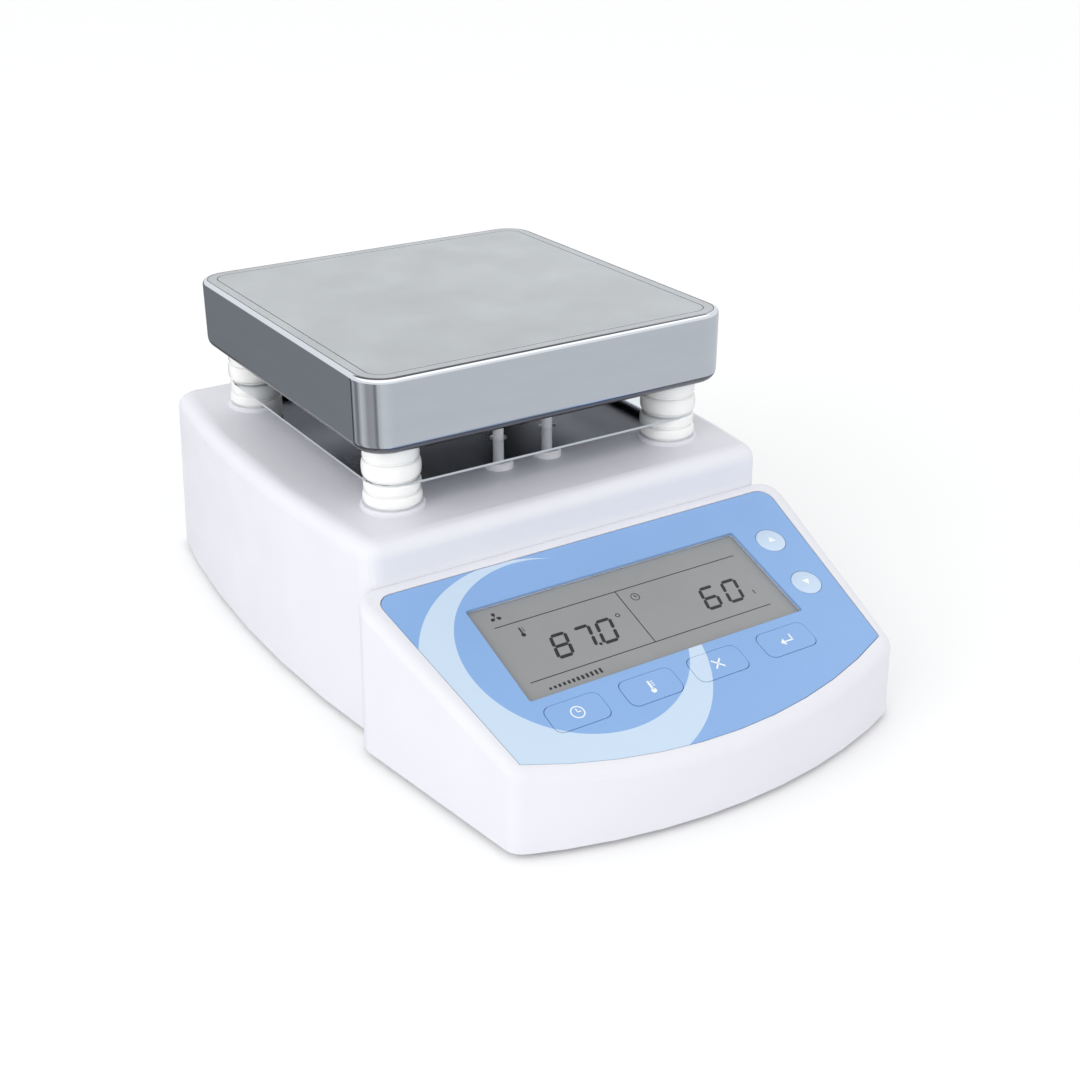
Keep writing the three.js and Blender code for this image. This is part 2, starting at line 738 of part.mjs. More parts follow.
// A hat-shaped bracket: the motor hangs under its crown, its flanges meet the ceiling.
function motorBracket() {
  const crown = motor.top + 0.2;
  const under = ceiling - fitGap;
  const leg = 38;
  const reach = 50;
  const profile = [
    [-reach, under], [-reach, under - bracketSheet], [-leg, under - bracketSheet],
    [-leg, crown], [leg, crown], [leg, under - bracketSheet],
    [reach, under - bracketSheet], [reach, under], [leg - bracketSheet, under],
    [leg - bracketSheet, crown + bracketSheet], [-leg + bracketSheet, crown + bracketSheet],
    [-leg + bracketSheet, under],
  ];
  const shape = new THREE.Shape(profile.map(([x, z]) => new THREE.Vector2(x, z)));
  const width = 44;
  const strip = new THREE.ExtrudeGeometry(shape, { depth: width, bevelEnabled: false });
  const hat = solidOf(strip.rotateX(Math.PI / 2).translate(0, plateY + width / 2, 0));
  return cut(hat, post(8, 0, plateY, crown - 1, crown + bracketSheet + 1, 20));
}

function rotorShaft() {
  return turned([
    [0, motor.bottom + 3], [shaftRadius, motor.bottom + 3], [shaftRadius, yoke.top - 0.6],
    [shaftRadius - 0.6, yoke.top], [0, yoke.top],
  ], 0, plateY, 16);
}

// The steel yoke that carries both drive magnets on a hub.
function magnetYoke() {
  const { radius, bottom, top } = yoke;
  const disc = turned([
    [shaftRadius + runningFit, bottom - 5], [7, bottom - 5], [7, bottom], [radius, bottom],
    [radius, top], [shaftRadius + runningFit, top],
    [shaftRadius + runningFit, bottom - 5],
  ], 0, plateY, 20);
  const lightening = [60, 120, 240, 300].map((angle) => {
    const turn = THREE.MathUtils.degToRad(angle);
    const [x, y] = [18 * Math.cos(turn), plateY + 18 * Math.sin(turn)];
    return post(5, x, y, bottom - 1, top + 1, 10);
  });
  return cut(disc, ...lightening);
}

function driveMagnet(x) {
  const radius = 9;
  return turned([
    [0, yoke.top], [radius, yoke.top], [radius, magnetTop - 0.6], [radius - 0.6, magnetTop],
    [0, magnetTop],
  ], x, plateY, 20);
}

// ---------------------------------------------------------------- power supply

function powerBoard() {
  const [x, y] = [-48, 92];
  const z = baseTop + 6;
  const board = box(62, 44, 1.6, x, y, z + 0.8);
  const legs = [-26, 26].flatMap((dx) => [-17, 17].map((dy) =>
    post(2.5, x + dx, y + dy, baseTop + 0.1, z + 0.1, 8)));
  const relay = box(19, 15, 15, x - 14, y + 8, z + 9);
  const capacitor = post(6, x + 16, y + 8, z + 1.5, z + 20, 16);
  const fins = [0, 1, 2, 3, 4].map((i) => box(1.6, 14, 16, x - 24 + i * 5, y - 12, z + 12));
  const finBase = box(24, 14, 3, x - 14, y - 12, z + 3);
  const terminals = box(20, 8, 9, x + 14, y - 14, z + 6);
  return joined(board, ...legs, relay, capacitor, finBase, ...fins, terminals);
}

function transformer() {
  const [x, y] = [60, 84];
  const z = baseTop + 0.1;
  const core = box(40, 18, 34, x, y, z + 17);
  const winding = box(24, 30, 21, x, y, z + 17);
  const flange = box(50, 18, 1.6, x, y, z + 0.8);
  return joined(core, winding, flange);
}

// ---------------------------------------------------------------- connector bay

// The bay's own frame: local X to the left seen from the front, local Y up, local Z out.
const rearWall = new THREE.Group();
rearWall.applyMatrix4(new THREE.Matrix4().makeBasis(
  new THREE.Vector3(-1, 0, 0), new THREE.Vector3(0, 0, 1), new THREE.Vector3(0, 1, 0),
).setPosition(0, bayFloorY, bayZ));
rearWall.updateMatrix();
stirrer.add(rearWall);

const onRearWall = (solid) => solid.transform(rearWall.matrix.toArray());

const inlet = { x: -22, flange: 31, body: 27, depth: 21, flangeSheet: 2.2 };
const socket = { width: 24, height: 16, y: 4.5, depth: 16 };
const drawer = { width: 19, height: 6, y: -9, depth: 17, travel: 12 };
const rocker = { x: 24, flangeWidth: 16, flangeHeight: 22, width: 10.6, height: 16, tilt: 10 };
const rockerPivot = -2.6;           // the rocker turns about this depth behind the bay's floor
const pins = [
  { name: 'neutral_pin', x: -7, y: socket.y - 2 },
  { name: 'earth_pin', x: 0, y: socket.y + 2 },
  { name: 'line_pin', x: 7, y: socket.y - 2 },
];

function inletBody(gap) {
  return roundedRectangle(inlet.body + 2 * gap, inlet.body + 2 * gap, 1.5, 3);
}

function switchBody(gap) {
  return roundedRectangle(13.2 + 2 * gap, 19.8 + 2 * gap, 0.8, 3);
}

// The socket's mouth: a rectangle with its two upper corners cut off.
function socketOutline() {
  const [w, h] = [socket.width / 2, socket.height / 2];
  const bevel = 4.5;
  return moved(rounded([
    { x: -w, y: -h, r: 1 }, { x: w, y: -h, r: 1 }, { x: w, y: h - bevel, r: 1 },
    { x: w - bevel, y: h, r: 1 }, { x: -w + bevel, y: h, r: 1 }, { x: -w, y: h - bevel, r: 1 },
  ], 2), 0, socket.y);
}

function powerInlet() {
  const { flange, flangeSheet, depth } = inlet;
  const front = slab(roundedRectangle(flange, flange, 2.5), 0, flangeSheet);
  const body = slab(inletBody(0), -depth, 0.1);
  const mouth = slab(socketOutline(), flangeSheet - socket.depth, flangeSheet + 1);
  const pinHoles = pins.map(({ x, y }) => box(2.3, 4.3, 30, x, y, -15));
  const drawerHole = box(drawer.width + 0.6, drawer.height + 0.6, drawer.depth + 4,
    0, drawer.y, flangeSheet + 0.5 - (drawer.depth + 4) / 2);
  return cut(joined(front, body), mouth, ...pinHoles, drawerHole);
}

// A flat contact blade: it stands in the socket and ends in a solder tab behind.
function contactPin({ x, y }) {
  const tip = inlet.flangeSheet - 5.2;
  const tail = -inlet.depth - 7;
  return box(2, 4, tip - tail, x, y, (tip + tail) / 2);
}

function fuseDrawer() {
  const front = inlet.flangeSheet;
  const { width, height, y, depth } = drawer;
  const body = box(width, height, depth, 0, y, front - depth / 2);
  const carrier = box(width - 3, height, depth - 8, 0, y + 1.5, front - depth / 2 - 1.5);
  const grip = box(6, 2, 3, 0, y + height / 2, front);
  return cut(body, carrier, grip);
}

function switchFrame() {
  const { flangeWidth, flangeHeight } = rocker;
  const front = slab(roundedRectangle(flangeWidth, flangeHeight, 1.5, 4), 0, 1.6);
  const body = slab(switchBody(0), -15, 0.1);
  const well = box(11.4, 18.4, 12, 0, 0, -1);
  const pivot = axle(1.35, 12.6, 0, 0, rockerPivot);
  const tabs = [-5, 5].map((y) => box(5, 0.9, 8, 0, y, -18.5));
  return joined(cut(joined(front, body), well, pivot), ...tabs);
}

// The rocker, with its face dished between two raised ends; at rest its lower end is in.
function switchRocker() {
  const half = rocker.height / 2;
  const face = [-1, -0.5, 0, 0.5, 1].map((t) => [t * half, 1 + 1.8 * t * t]);
  const profile = [[-6.5, -4.2], [6.5, -4.2], ...face.toReversed()];
  const shape = new THREE.Shape(profile.map(([y, z]) => new THREE.Vector2(y, z)));
  const bar = new THREE.ExtrudeGeometry(shape, { depth: rocker.width, bevelEnabled: false });
  const turnedUp = new THREE.Matrix4().makeBasis(
    new THREE.Vector3(0, 1, 0), new THREE.Vector3(0, 0, 1), new THREE.Vector3(1, 0, 0));
  const body = solidOf(bar.applyMatrix4(turnedUp).translate(-rocker.width / 2, 0, 0));
  const pivot = axle(1.2, 12.2, 0, 0, rockerPivot);
  const tilt = new THREE.Matrix4().makeTranslation(0, 0, rockerPivot)
    .multiply(new THREE.Matrix4().makeRotationX(THREE.MathUtils.degToRad(rocker.tilt)))
    .multiply(new THREE.Matrix4().makeTranslation(0, 0, -rockerPivot));
  return joined(body, pivot).transform(tilt.toArray());
}

// ---------------------------------------------------------------- assembly

addPart(stirrer, 'upper_housing', upperHousing(), whiteMoulding);
addPart(stirrer, 'base_plate', basePlate(), whiteMoulding);
for (const { place, x, y } of feet) addPart(stirrer, `foot_${place}`, foot(x, y), blackRubber);

addPart(stirrer, 'hotplate_cap', hotplateCap(), stainless);
addPart(stirrer, 'heater_plate', heaterPlate(), castAluminium);
addPart(stirrer, 'heating_element', heatingElement(), zincSteel);
addPart(stirrer, 'insulation_pad', insulationPad(), ceramicFibre);
addPart(stirrer, 'hotplate_bottom_cover', bottomCover(), zincSteel);
addPart(stirrer, 'temperature_sensor', temperatureSensor(), zincSteel);
addPart(stirrer, 'heat_shield', heatShield(), mirrorSteel);

for (const { place, standX, standY } of corners) {
  const upper = porcelainBead(standX, standY, shieldTop, coverZ, upperRim);
  const lower = porcelainBead(standX, standY, housingTop + standPad.height, shieldBottom, lowerRim);
  addPart(stirrer, `upper_insulator_${place}`, upper, porcelain);
  addPart(stirrer, `lower_insulator_${place}`, lower, porcelain);
  addPart(stirrer, `stud_${place}`, stud(standX, standY), zincSteel);
  addPart(stirrer, `stud_nut_${place}`, studNut(standX, standY), zincSteel);
}

for (const [side, x] of [['left', -leadX], ['right', leadX]]) {
  addPart(stirrer, `heater_lead_sleeve_${side}`, leadSleeve(x), glassSleeve);
  addPart(stirrer, `lead_grommet_${side}`, leadGrommet(x), whiteMoulding);
}

addPart(panel, 'panel_overlay', panelOverlay(), blueFilm);
addPart(panel, 'display_glass', displayGlass(), displayGrey);
addPart(panel, 'display_frame', displayFrame(), blackPlastic);
addPart(panel, 'control_board', controlBoard(), circuitGreen);
for (const key of keys) {
  addPart(panel, key.name, keySolid(key), key.round ? paleBlueFilm : blueFilm);
}

addPart(stirrer, 'motor', motorBody(), castAluminium);
addPart(stirrer, 'motor_bracket', motorBracket(), zincSteel);
addPart(stirrer, 'rotor_shaft', rotorShaft(), zincSteel);
addPart(stirrer, 'magnet_yoke', magnetYoke(), zincSteel);
addPart(stirrer, 'drive_magnet_left', driveMagnet(-19), ferrite);
addPart(stirrer, 'drive_magnet_right', driveMagnet(19), ferrite);

addPart(stirrer, 'power_board', powerBoard(), circuitGreen);
addPart(stirrer, 'transformer', transformer(), lamination);

const inletGroup = new THREE.Group();
inletGroup.position.x = inlet.x;
rearWall.add(inletGroup);
addPart(inletGroup, 'power_inlet', powerInlet(), blackPlastic);
addPart(inletGroup, 'fuse_drawer', fuseDrawer(), blackPlastic);
for (const pin of pins) addPart(inletGroup, pin.name, contactPin(pin), brass);

const switchGroup = new THREE.Group();
switchGroup.position.x = rocker.x;
rearWall.add(switchGroup);
addPart(switchGroup, 'power_switch_frame', switchFrame(), blackPlastic);
addPart(switchGroup, 'power_switch_rocker', switchRocker(), blackPlastic);

export default stirrer;
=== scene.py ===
# %% [markdown]
# # A magnetic stirrer with a square hotplate
# A steel plate stands on porcelain stand-offs above a white moulded housing. The packed
# model gives every part's place, so this lesson only builds what the eye looks at closely:
# fine surfaces, prints and finishes. Everything is in metres, in the model's own frame.

# %% Load the frame
import json
import math

import bmesh
import bpy
from mathutils import Matrix, Vector


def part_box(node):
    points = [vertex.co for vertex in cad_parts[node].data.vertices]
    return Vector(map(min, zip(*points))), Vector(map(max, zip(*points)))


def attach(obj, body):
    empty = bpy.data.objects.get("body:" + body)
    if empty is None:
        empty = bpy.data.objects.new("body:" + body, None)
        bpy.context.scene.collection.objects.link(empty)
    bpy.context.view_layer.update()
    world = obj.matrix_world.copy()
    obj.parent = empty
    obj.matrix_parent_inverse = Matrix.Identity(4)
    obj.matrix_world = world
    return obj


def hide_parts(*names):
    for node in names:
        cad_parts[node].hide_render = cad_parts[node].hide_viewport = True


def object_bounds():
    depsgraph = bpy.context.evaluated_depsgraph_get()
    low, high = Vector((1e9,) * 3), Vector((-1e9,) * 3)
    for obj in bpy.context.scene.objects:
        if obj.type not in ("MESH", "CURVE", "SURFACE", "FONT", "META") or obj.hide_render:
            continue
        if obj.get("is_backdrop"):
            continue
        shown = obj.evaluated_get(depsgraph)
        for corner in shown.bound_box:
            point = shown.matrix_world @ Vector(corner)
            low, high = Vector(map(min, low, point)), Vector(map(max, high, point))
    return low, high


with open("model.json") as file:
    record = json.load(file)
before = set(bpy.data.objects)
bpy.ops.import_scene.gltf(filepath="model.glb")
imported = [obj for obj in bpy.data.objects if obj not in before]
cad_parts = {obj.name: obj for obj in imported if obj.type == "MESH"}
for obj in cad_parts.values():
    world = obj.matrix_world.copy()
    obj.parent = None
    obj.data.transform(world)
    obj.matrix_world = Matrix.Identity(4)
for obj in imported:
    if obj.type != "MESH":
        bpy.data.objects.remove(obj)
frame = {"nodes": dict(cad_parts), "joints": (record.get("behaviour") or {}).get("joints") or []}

scene = bpy.context.scene
nodes = frame["nodes"]
MM = 0.001
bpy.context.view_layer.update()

# %% [markdown]
# ## Camera and studio
# The view looks down at about 26 degrees from the front left, through a lens a little
# longer than normal, as small instruments are usually shown. The floor is plain and pale.
# Polished steel shows what stands around it, so the surroundings are bright in front and
# darker behind on the left, which gives the plate's skirt its light and dark sides.

# %% Camera
AIM = Vector((-0.003, -0.026, 0.048))
DISTANCE = 0.56
VIEW_DIRECTION = Vector((0.4853, 0.7592, -0.4338)).normalized()


def add_camera():
    data = bpy.data.cameras.new("camera")
    data.lens = 50.7
    data.sensor_width = 36.0
    data.clip_start = 0.01
    camera = bpy.data.objects.new("camera", data)
    scene.collection.objects.link(camera)
    camera.location = AIM - VIEW_DIRECTION * DISTANCE
    camera.rotation_euler = VIEW_DIRECTION.to_track_quat("-Z", "Y").to_euler()
    scene.camera = camera
    print("camera at", [round(c, 3) for c in camera.location])


add_camera()

# %% [markdown]
# Three things light the scene: a soft lamp from the left, a world that gives every surface
# even daylight, and a second world colour that only reflections see. Keeping the last two
# apart lets the steel look dark on one side while the white housing stays bright. A wide
# sheet of pale paper is the floor, and it is hidden from reflections.

# %% Studio light
FLOOR_SIZE = 12.0


def add_area_light(name, place, aim, size, power, color):
    data = bpy.data.lights.new(name, "AREA")
    data.shape = "SQUARE"
    data.size = size
    data.energy = power
    data.color = color
    light = bpy.data.objects.new(name, data)
    scene.collection.objects.link(light)
    light.location = place
    light.rotation_euler = (Vector(aim) - Vector(place)).to_track_quat("-Z", "Y").to_euler()
    return light


def add_floor():
    mesh = bpy.data.meshes.new("floor")
    bm = bmesh.new()
    bmesh.ops.create_grid(bm, x_segments=1, y_segments=1, size=FLOOR_SIZE / 2)
    bm.to_mesh(mesh)
    bm.free()
    floor = bpy.data.objects.new("floor", mesh)
    scene.collection.objects.link(floor)
    material = bpy.data.materials.new("floor_paper")
    material.use_nodes = True
    shader = material.node_tree.nodes["Principled BSDF"]
    shader.inputs["Base Color"].default_value = (0.95, 0.95, 0.95, 1)
    shader.inputs["Roughness"].default_value = 0.9
    mesh.materials.append(material)
    floor.visible_glossy = False
    floor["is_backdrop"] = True


def blend_colors(tree, amount, first, second):
    """Mixes two colours, each given as a tuple or as a socket."""
    mix = tree.nodes.new("ShaderNodeMix")
    mix.data_type = "RGBA"
    colors = [socket for socket in mix.inputs if socket.type == "RGBA"]
    for socket, color in zip(colors, (first, second)):
        if isinstance(color, tuple):
            socket.default_value = (*color, 1)
        else:
            tree.links.new(color, socket)
    tree.links.new(amount, mix.inputs[0])
    return next(socket for socket in mix.outputs if socket.type == "RGBA")


def add_color_ramp(tree, source, stops):
    """A smooth ramp of grey shades: each stop is a place and a (red, green, blue)."""
    ramp = tree.nodes.new("ShaderNodeValToRGB")
    ramp.color_ramp.interpolation = "EASE"
    for place, color in stops[1:-1]:
        ramp.color_ramp.elements.new(place).color = (*color, 1)
    for element, (place, color) in ((0, stops[0]), (-1, stops[-1])):
        ramp.color_ramp.elements[element].position = place
        ramp.color_ramp.elements[element].color = (*color, 1)
    tree.links.new(source, ramp.inputs["Fac"])
    return ramp.outputs["Color"]


def grey(value, blue=1.0):
    """A grey of the given brightness; blue above 1 makes it cooler."""
    return (value, value * (1 + blue) / 2, value * blue)


# What polished steel reflects near the horizon, once round from -X by way of the front.
COMPASS = [
    (0.000, grey(0.52, 1.05)), (0.036, grey(0.34, 1.08)), (0.085, grey(0.36, 1.08)),
    (0.112, grey(0.20, 1.14)), (0.140, grey(0.56, 1.08)), (0.172, grey(0.66, 1.08)),
    (0.300, grey(0.60, 1.10)), (0.450, grey(0.62, 1.10)), (0.600, grey(0.66, 1.05)),
    (0.720, grey(0.40, 1.10)), (0.760, grey(0.18, 1.15)), (0.841, grey(0.22, 1.14)),
    (0.848, grey(0.04, 1.25)), (0.864, grey(0.10, 1.20)), (0.879, grey(0.42, 1.06)),
    (0.923, grey(0.20, 1.14)), (0.978, grey(0.60, 1.05)), (1.000, grey(0.52, 1.05)),
]
# How the surroundings change with height, from straight down (0) to straight up (1).
HORIZON = [(0.00, grey(0.0)), (0.52, grey(0.0)), (0.57, grey(1.0)), (1.00, grey(1.0))]
CEILING = [(0.00, grey(0.94, 1.05)), (0.80, grey(0.94, 1.05)), (0.90, grey(1.5)), (1.00, grey(1.5))]
# A dark card in the ceiling, and how fast it fades with distance from its middle.
DARK_CARD = Vector((0.27, 0.52, 0.81))
CARD_EDGE = [(0.00, grey(1.0)), (0.945, grey(1.0)), (0.962, grey(0.12)), (1.00, grey(0.12))]
# The even light, from straight down to straight up.
DAYLIGHT = [
    (0.00, grey(1.0)), (0.50, grey(1.28, 1.02)), (0.70, grey(1.12, 1.01)), (1.00, grey(0.91)),
]


def map_from_minus_one(tree, value):
    """Turns a value between -1 and 1 into one between 0 and 1."""
    spread = tree.nodes.new("ShaderNodeMapRange")
    spread.inputs["From Min"].default_value = -1
    tree.links.new(value, spread.inputs["Value"])
    return spread.outputs[0]


def direction_turns(tree, axes):
    """Which way a direction points round the compass, as a share of a full turn."""
    around = tree.nodes.new("ShaderNodeMath")
    around.operation = "ARCTAN2"
    tree.links.new(axes.outputs["Y"], around.inputs[0])
    tree.links.new(axes.outputs["X"], around.inputs[1])
    turns = tree.nodes.new("ShaderNodeMapRange")
    turns.inputs["From Min"].default_value = -math.pi
    turns.inputs["From Max"].default_value = math.pi
    tree.links.new(around.outputs[0], turns.inputs["Value"])
    return turns.outputs[0]


def shade_with_card(tree, where, ceiling):
    """The ceiling's colour, darkened where the dark card is."""
    card = tree.nodes.new("ShaderNodeVectorMath")
    card.operation = "DOT_PRODUCT"
    card.inputs[1].default_value = DARK_CARD.normalized()
    tree.links.new(where, card.inputs[0])
    nearness = map_from_minus_one(tree, card.outputs["Value"])
    shade = add_color_ramp(tree, nearness, CARD_EDGE)
    shaded = tree.nodes.new("ShaderNodeMix")
    shaded.data_type = "RGBA"
    shaded.blend_type = "MULTIPLY"
    shaded.inputs[0].default_value = 1.0
    colors = [socket for socket in shaded.inputs if socket.type == "RGBA"]
    tree.links.new(ceiling, colors[0])
    tree.links.new(shade, colors[1])
    return next(socket for socket in shaded.outputs if socket.type == "RGBA")


def add_world():
    """Even light for every surface, and a separate surrounding for reflections."""
    world = bpy.data.worlds.new("studio")
    scene.world = world
    world.use_nodes = True
    tree = world.node_tree
    link = tree.links.new
    where = tree.nodes.new("ShaderNodeTexCoord").outputs["Generated"]
    axes = tree.nodes.new("ShaderNodeSeparateXYZ")
    link(where, axes.inputs[0])
    turns = direction_turns(tree, axes)
    height = map_from_minus_one(tree, axes.outputs["Z"])
    compass = add_color_ramp(tree, turns, COMPASS)
    ceiling = shade_with_card(tree, where, add_color_ramp(tree, height, CEILING))
    above = add_color_ramp(tree, height, HORIZON)
    reflected = blend_colors(tree, above, compass, ceiling)
    daylight = add_color_ramp(tree, height, DAYLIGHT)
    path = tree.nodes.new("ShaderNodeLightPath")
    seen = blend_colors(tree, path.outputs["Is Glossy Ray"], daylight, reflected)
    link(seen, tree.nodes["Background"].inputs["Color"])


add_floor()
add_world()
key = add_area_light("key", (-1.7, -0.5, 0.9), (0, 0, 0.05), 1.4, 9.0, (1.0, 0.99, 0.98))
key.visible_glossy = False
scene.view_settings.view_transform = "Standard"

# %% [markdown]
# ## Shared surface effects
# Real finishes are never one flat value. Two small node groups give that variation to every
# material: `mottle` turns soft noise into a value between two limits, for shade and gloss,
# and `grain` makes the fine height that a bump node needs. Each material places them with
# its own scale, so a moulding, a brushed sheet and rubber all get their own character.

# %% Node groups


WIDE_GRAIN = 0.12


def group_socket(group, name, direction, kind, value=None):
    socket = group.interface.new_socket(name=name, in_out=direction, socket_type=kind)
    if value is not None:
        socket.default_value = value


def make_mottle():
    group = bpy.data.node_groups.new("mottle", "ShaderNodeTree")
    group_socket(group, "Vector", "INPUT", "NodeSocketVector")
    group_socket(group, "Scale", "INPUT", "NodeSocketFloat", 40.0)
    group_socket(group, "Low", "INPUT", "NodeSocketFloat", 0.0)
    group_socket(group, "High", "INPUT", "NodeSocketFloat", 1.0)
    group_socket(group, "Value", "OUTPUT", "NodeSocketFloat")
    given = group.nodes.new("NodeGroupInput")
    result = group.nodes.new("NodeGroupOutput")
    noise = group.nodes.new("ShaderNodeTexNoise")
    noise.inputs["Detail"].default_value = 4.0
    noise.inputs["Roughness"].default_value = 0.6
    spread = group.nodes.new("ShaderNodeMapRange")
    spread.inputs["From Min"].default_value = 0.3
    spread.inputs["From Max"].default_value = 0.7
    link = group.links.new
    link(given.outputs["Vector"], noise.inputs["Vector"])
    link(given.outputs["Scale"], noise.inputs["Scale"])
    link(noise.outputs["Fac"], spread.inputs["Value"])
    link(given.outputs["Low"], spread.inputs["To Min"])
    link(given.outputs["High"], spread.inputs["To Max"])
    link(spread.outputs["Result"], result.inputs["Value"])
    return group


def make_grain():
    group = bpy.data.node_groups.new("grain", "ShaderNodeTree")
    group_socket(group, "Vector", "INPUT", "NodeSocketVector")
    group_socket(group, "Scale", "INPUT", "NodeSocketFloat", 900.0)
    group_socket(group, "Coarse", "INPUT", "NodeSocketFloat", 0.3)
    group_socket(group, "Height", "OUTPUT", "NodeSocketFloat")
    given = group.nodes.new("NodeGroupInput")
    result = group.nodes.new("NodeGroupOutput")
    fine = group.nodes.new("ShaderNodeTexNoise")
    fine.inputs["Detail"].default_value = 3.0
    wide = group.nodes.new("ShaderNodeTexNoise")
    wide.inputs["Detail"].default_value = 2.0
    wide_scale = group.nodes.new("ShaderNodeMath")
    wide_scale.operation = "MULTIPLY"
    wide_scale.inputs[1].default_value = WIDE_GRAIN
    both = group.nodes.new("ShaderNodeMath")
    both.operation = "MULTIPLY_ADD"
    link = group.links.new
    link(given.outputs["Vector"], fine.inputs["Vector"])
    link(given.outputs["Vector"], wide.inputs["Vector"])
    link(given.outputs["Scale"], fine.inputs["Scale"])
    link(given.outputs["Scale"], wide_scale.inputs[0])
    link(wide_scale.outputs[0], wide.inputs["Scale"])
    link(wide.outputs["Fac"], both.inputs[0])
    link(given.outputs["Coarse"], both.inputs[1])
    link(fine.outputs["Fac"], both.inputs[2])
    link(both.outputs[0], result.inputs["Height"])
    return group


MOTTLE = make_mottle()
GRAIN = make_grain()

# %% [markdown]
# One builder makes the ordinary finishes. Colour swings gently between two shades, gloss
# swings between two roughness values, and a bump adds the grain. Values that stay the same
# all over, such as metalness, are set on the shader itself.

# %% Material builder
GLOSS_PATCH = 2.3
COAT_ROUGHNESS = 0.08


def coordinates(tree, stretch=(1, 1, 1)):
    where = tree.nodes.new("ShaderNodeTexCoord")
    mapping = tree.nodes.new("ShaderNodeMapping")
    mapping.inputs["Scale"].default_value = stretch
    tree.links.new(where.outputs["Object"], mapping.inputs["Vector"])
    return mapping.outputs["Vector"]


def add_mottle(tree, vector, scale, low, high):
    node = tree.nodes.new("ShaderNodeGroup")
    node.node_tree = MOTTLE
    node.inputs["Scale"].default_value = scale
    node.inputs["Low"].default_value = low
    node.inputs["High"].default_value = high
    tree.links.new(vector, node.inputs["Vector"])
    return node.outputs["Value"]


def add_grain_bump(tree, vector, scale, depth, coarse=0.3):
    node = tree.nodes.new("ShaderNodeGroup")
    node.node_tree = GRAIN
    node.inputs["Scale"].default_value = scale
    node.inputs["Coarse"].default_value = coarse
    bump = tree.nodes.new("ShaderNodeBump")
    bump.inputs["Strength"].default_value = 1.0
    bump.inputs["Distance"].default_value = depth
    tree.links.new(vector, node.inputs["Vector"])
    tree.links.new(node.outputs["Height"], bump.inputs["Height"])
    return bump.outputs["Normal"]


def make_finish(name, light, dark, gloss, patch=60, grain=1500, depth=0.00001, stretch=(1, 1, 1),
                metallic=0.0, coat=0.0, coarse=0.3):
    material = bpy.data.materials.new(name)
    material.use_nodes = True
    tree = material.node_tree
    shader = tree.nodes["Principled BSDF"]
    vector = coordinates(tree, stretch)
    shade = blend_colors(tree, add_mottle(tree, vector, patch, 0.0, 1.0), light, dark)
    tree.links.new(shade, shader.inputs["Base Color"])
    tree.links.new(add_mottle(tree, vector, patch * GLOSS_PATCH, *gloss), shader.inputs["Roughness"])
    tree.links.new(add_grain_bump(tree, vector, grain, depth, coarse), shader.inputs["Normal"])
    shader.inputs["Metallic"].default_value = metallic
    shader.inputs["Coat Weight"].default_value = coat
    shader.inputs["Coat Roughness"].default_value = COAT_ROUGHNESS
    return material


# %% [markdown]
# ## The finishes
# The housing is satin ABS with a fine spark-eroded texture. The plate is stainless steel:
# its top is bead-blasted to a satin and its skirt is polished, while the heat shield is a
# near mirror. Porcelain has a clear glaze over a slightly uneven body.

# %% Finishes
white_moulding = make_finish(
    "white_moulding", (0.765, 0.768, 0.815), (0.745, 0.748, 0.797), (0.40, 0.50),
    patch=25, grain=2600, depth=0.000012)
satin_steel = make_finish(
    "satin_steel", (0.74, 0.76, 0.77), (0.69, 0.71, 0.72), (0.34, 0.42),
    patch=18, grain=3800, depth=0.000006, metallic=1.0)
polished_steel = make_finish(
    "polished_steel", (0.74, 0.76, 0.80), (0.71, 0.73, 0.77), (0.05, 0.09),
    patch=30, grain=900, depth=0.000001, stretch=(1, 1, 6), metallic=1.0)
# Dark steel for the hotplate's bottom cover. On the cap the same material is painted shade, in the pressed
# lines and along the hem.
dark_steel = make_finish(
    "dark_steel_and_painted_shade", (0.20, 0.20, 0.22), (0.17, 0.17, 0.185), (0.22, 0.28),
    patch=20, grain=1200, depth=0.000003, metallic=1.0)
mirror_steel = make_finish(
    "mirror_steel", (0.83, 0.85, 0.87), (0.78, 0.80, 0.83), (0.02, 0.06),
    patch=25, grain=400, depth=0.000001, metallic=1.0)
zinc_steel = make_finish(
    "zinc_plated_steel", (0.62, 0.63, 0.62), (0.52, 0.53, 0.53), (0.25, 0.42),
    patch=120, grain=2000, depth=0.000004, metallic=1.0)
cast_aluminium = make_finish(
    "cast_aluminium", (0.60, 0.61, 0.62), (0.50, 0.51, 0.53), (0.42, 0.60),
    patch=150, grain=1400, depth=0.00003, metallic=1.0)
porcelain = make_finish(
    "porcelain", (0.93, 0.93, 0.92), (0.89, 0.89, 0.88), (0.12, 0.20),
    patch=90, grain=500, depth=0.00002, coat=0.6)
ceramic_fibre = make_finish(
    "ceramic_fibre", (0.83, 0.80, 0.73), (0.74, 0.70, 0.62), (0.85, 0.98),
    patch=200, grain=1800, depth=0.0001)
lead_sleeve = make_finish(
    "lead_sleeve", (0.84, 0.85, 0.88), (0.74, 0.76, 0.80), (0.55, 0.75),
    patch=700, grain=2600, depth=0.00004, stretch=(1, 1, 0.5))
grommet_white = make_finish(
    "grommet_white", (0.88, 0.88, 0.90), (0.84, 0.84, 0.86), (0.35, 0.45),
    patch=80, grain=2200, depth=0.00001)
black_plastic = make_finish(
    "black_plastic", (0.030, 0.031, 0.034), (0.020, 0.021, 0.023), (0.42, 0.56),
    patch=90, grain=2200, depth=0.000015)
rocker_plastic = make_finish(
    "rocker_plastic", (0.022, 0.022, 0.024), (0.016, 0.016, 0.018), (0.14, 0.22),
    patch=120, grain=900, depth=0.000003, coat=0.2)
foot_rubber = make_finish(
    "foot_rubber", (0.035, 0.035, 0.035), (0.022, 0.022, 0.022), (0.78, 0.92),
    patch=200, grain=2400, depth=0.00003)
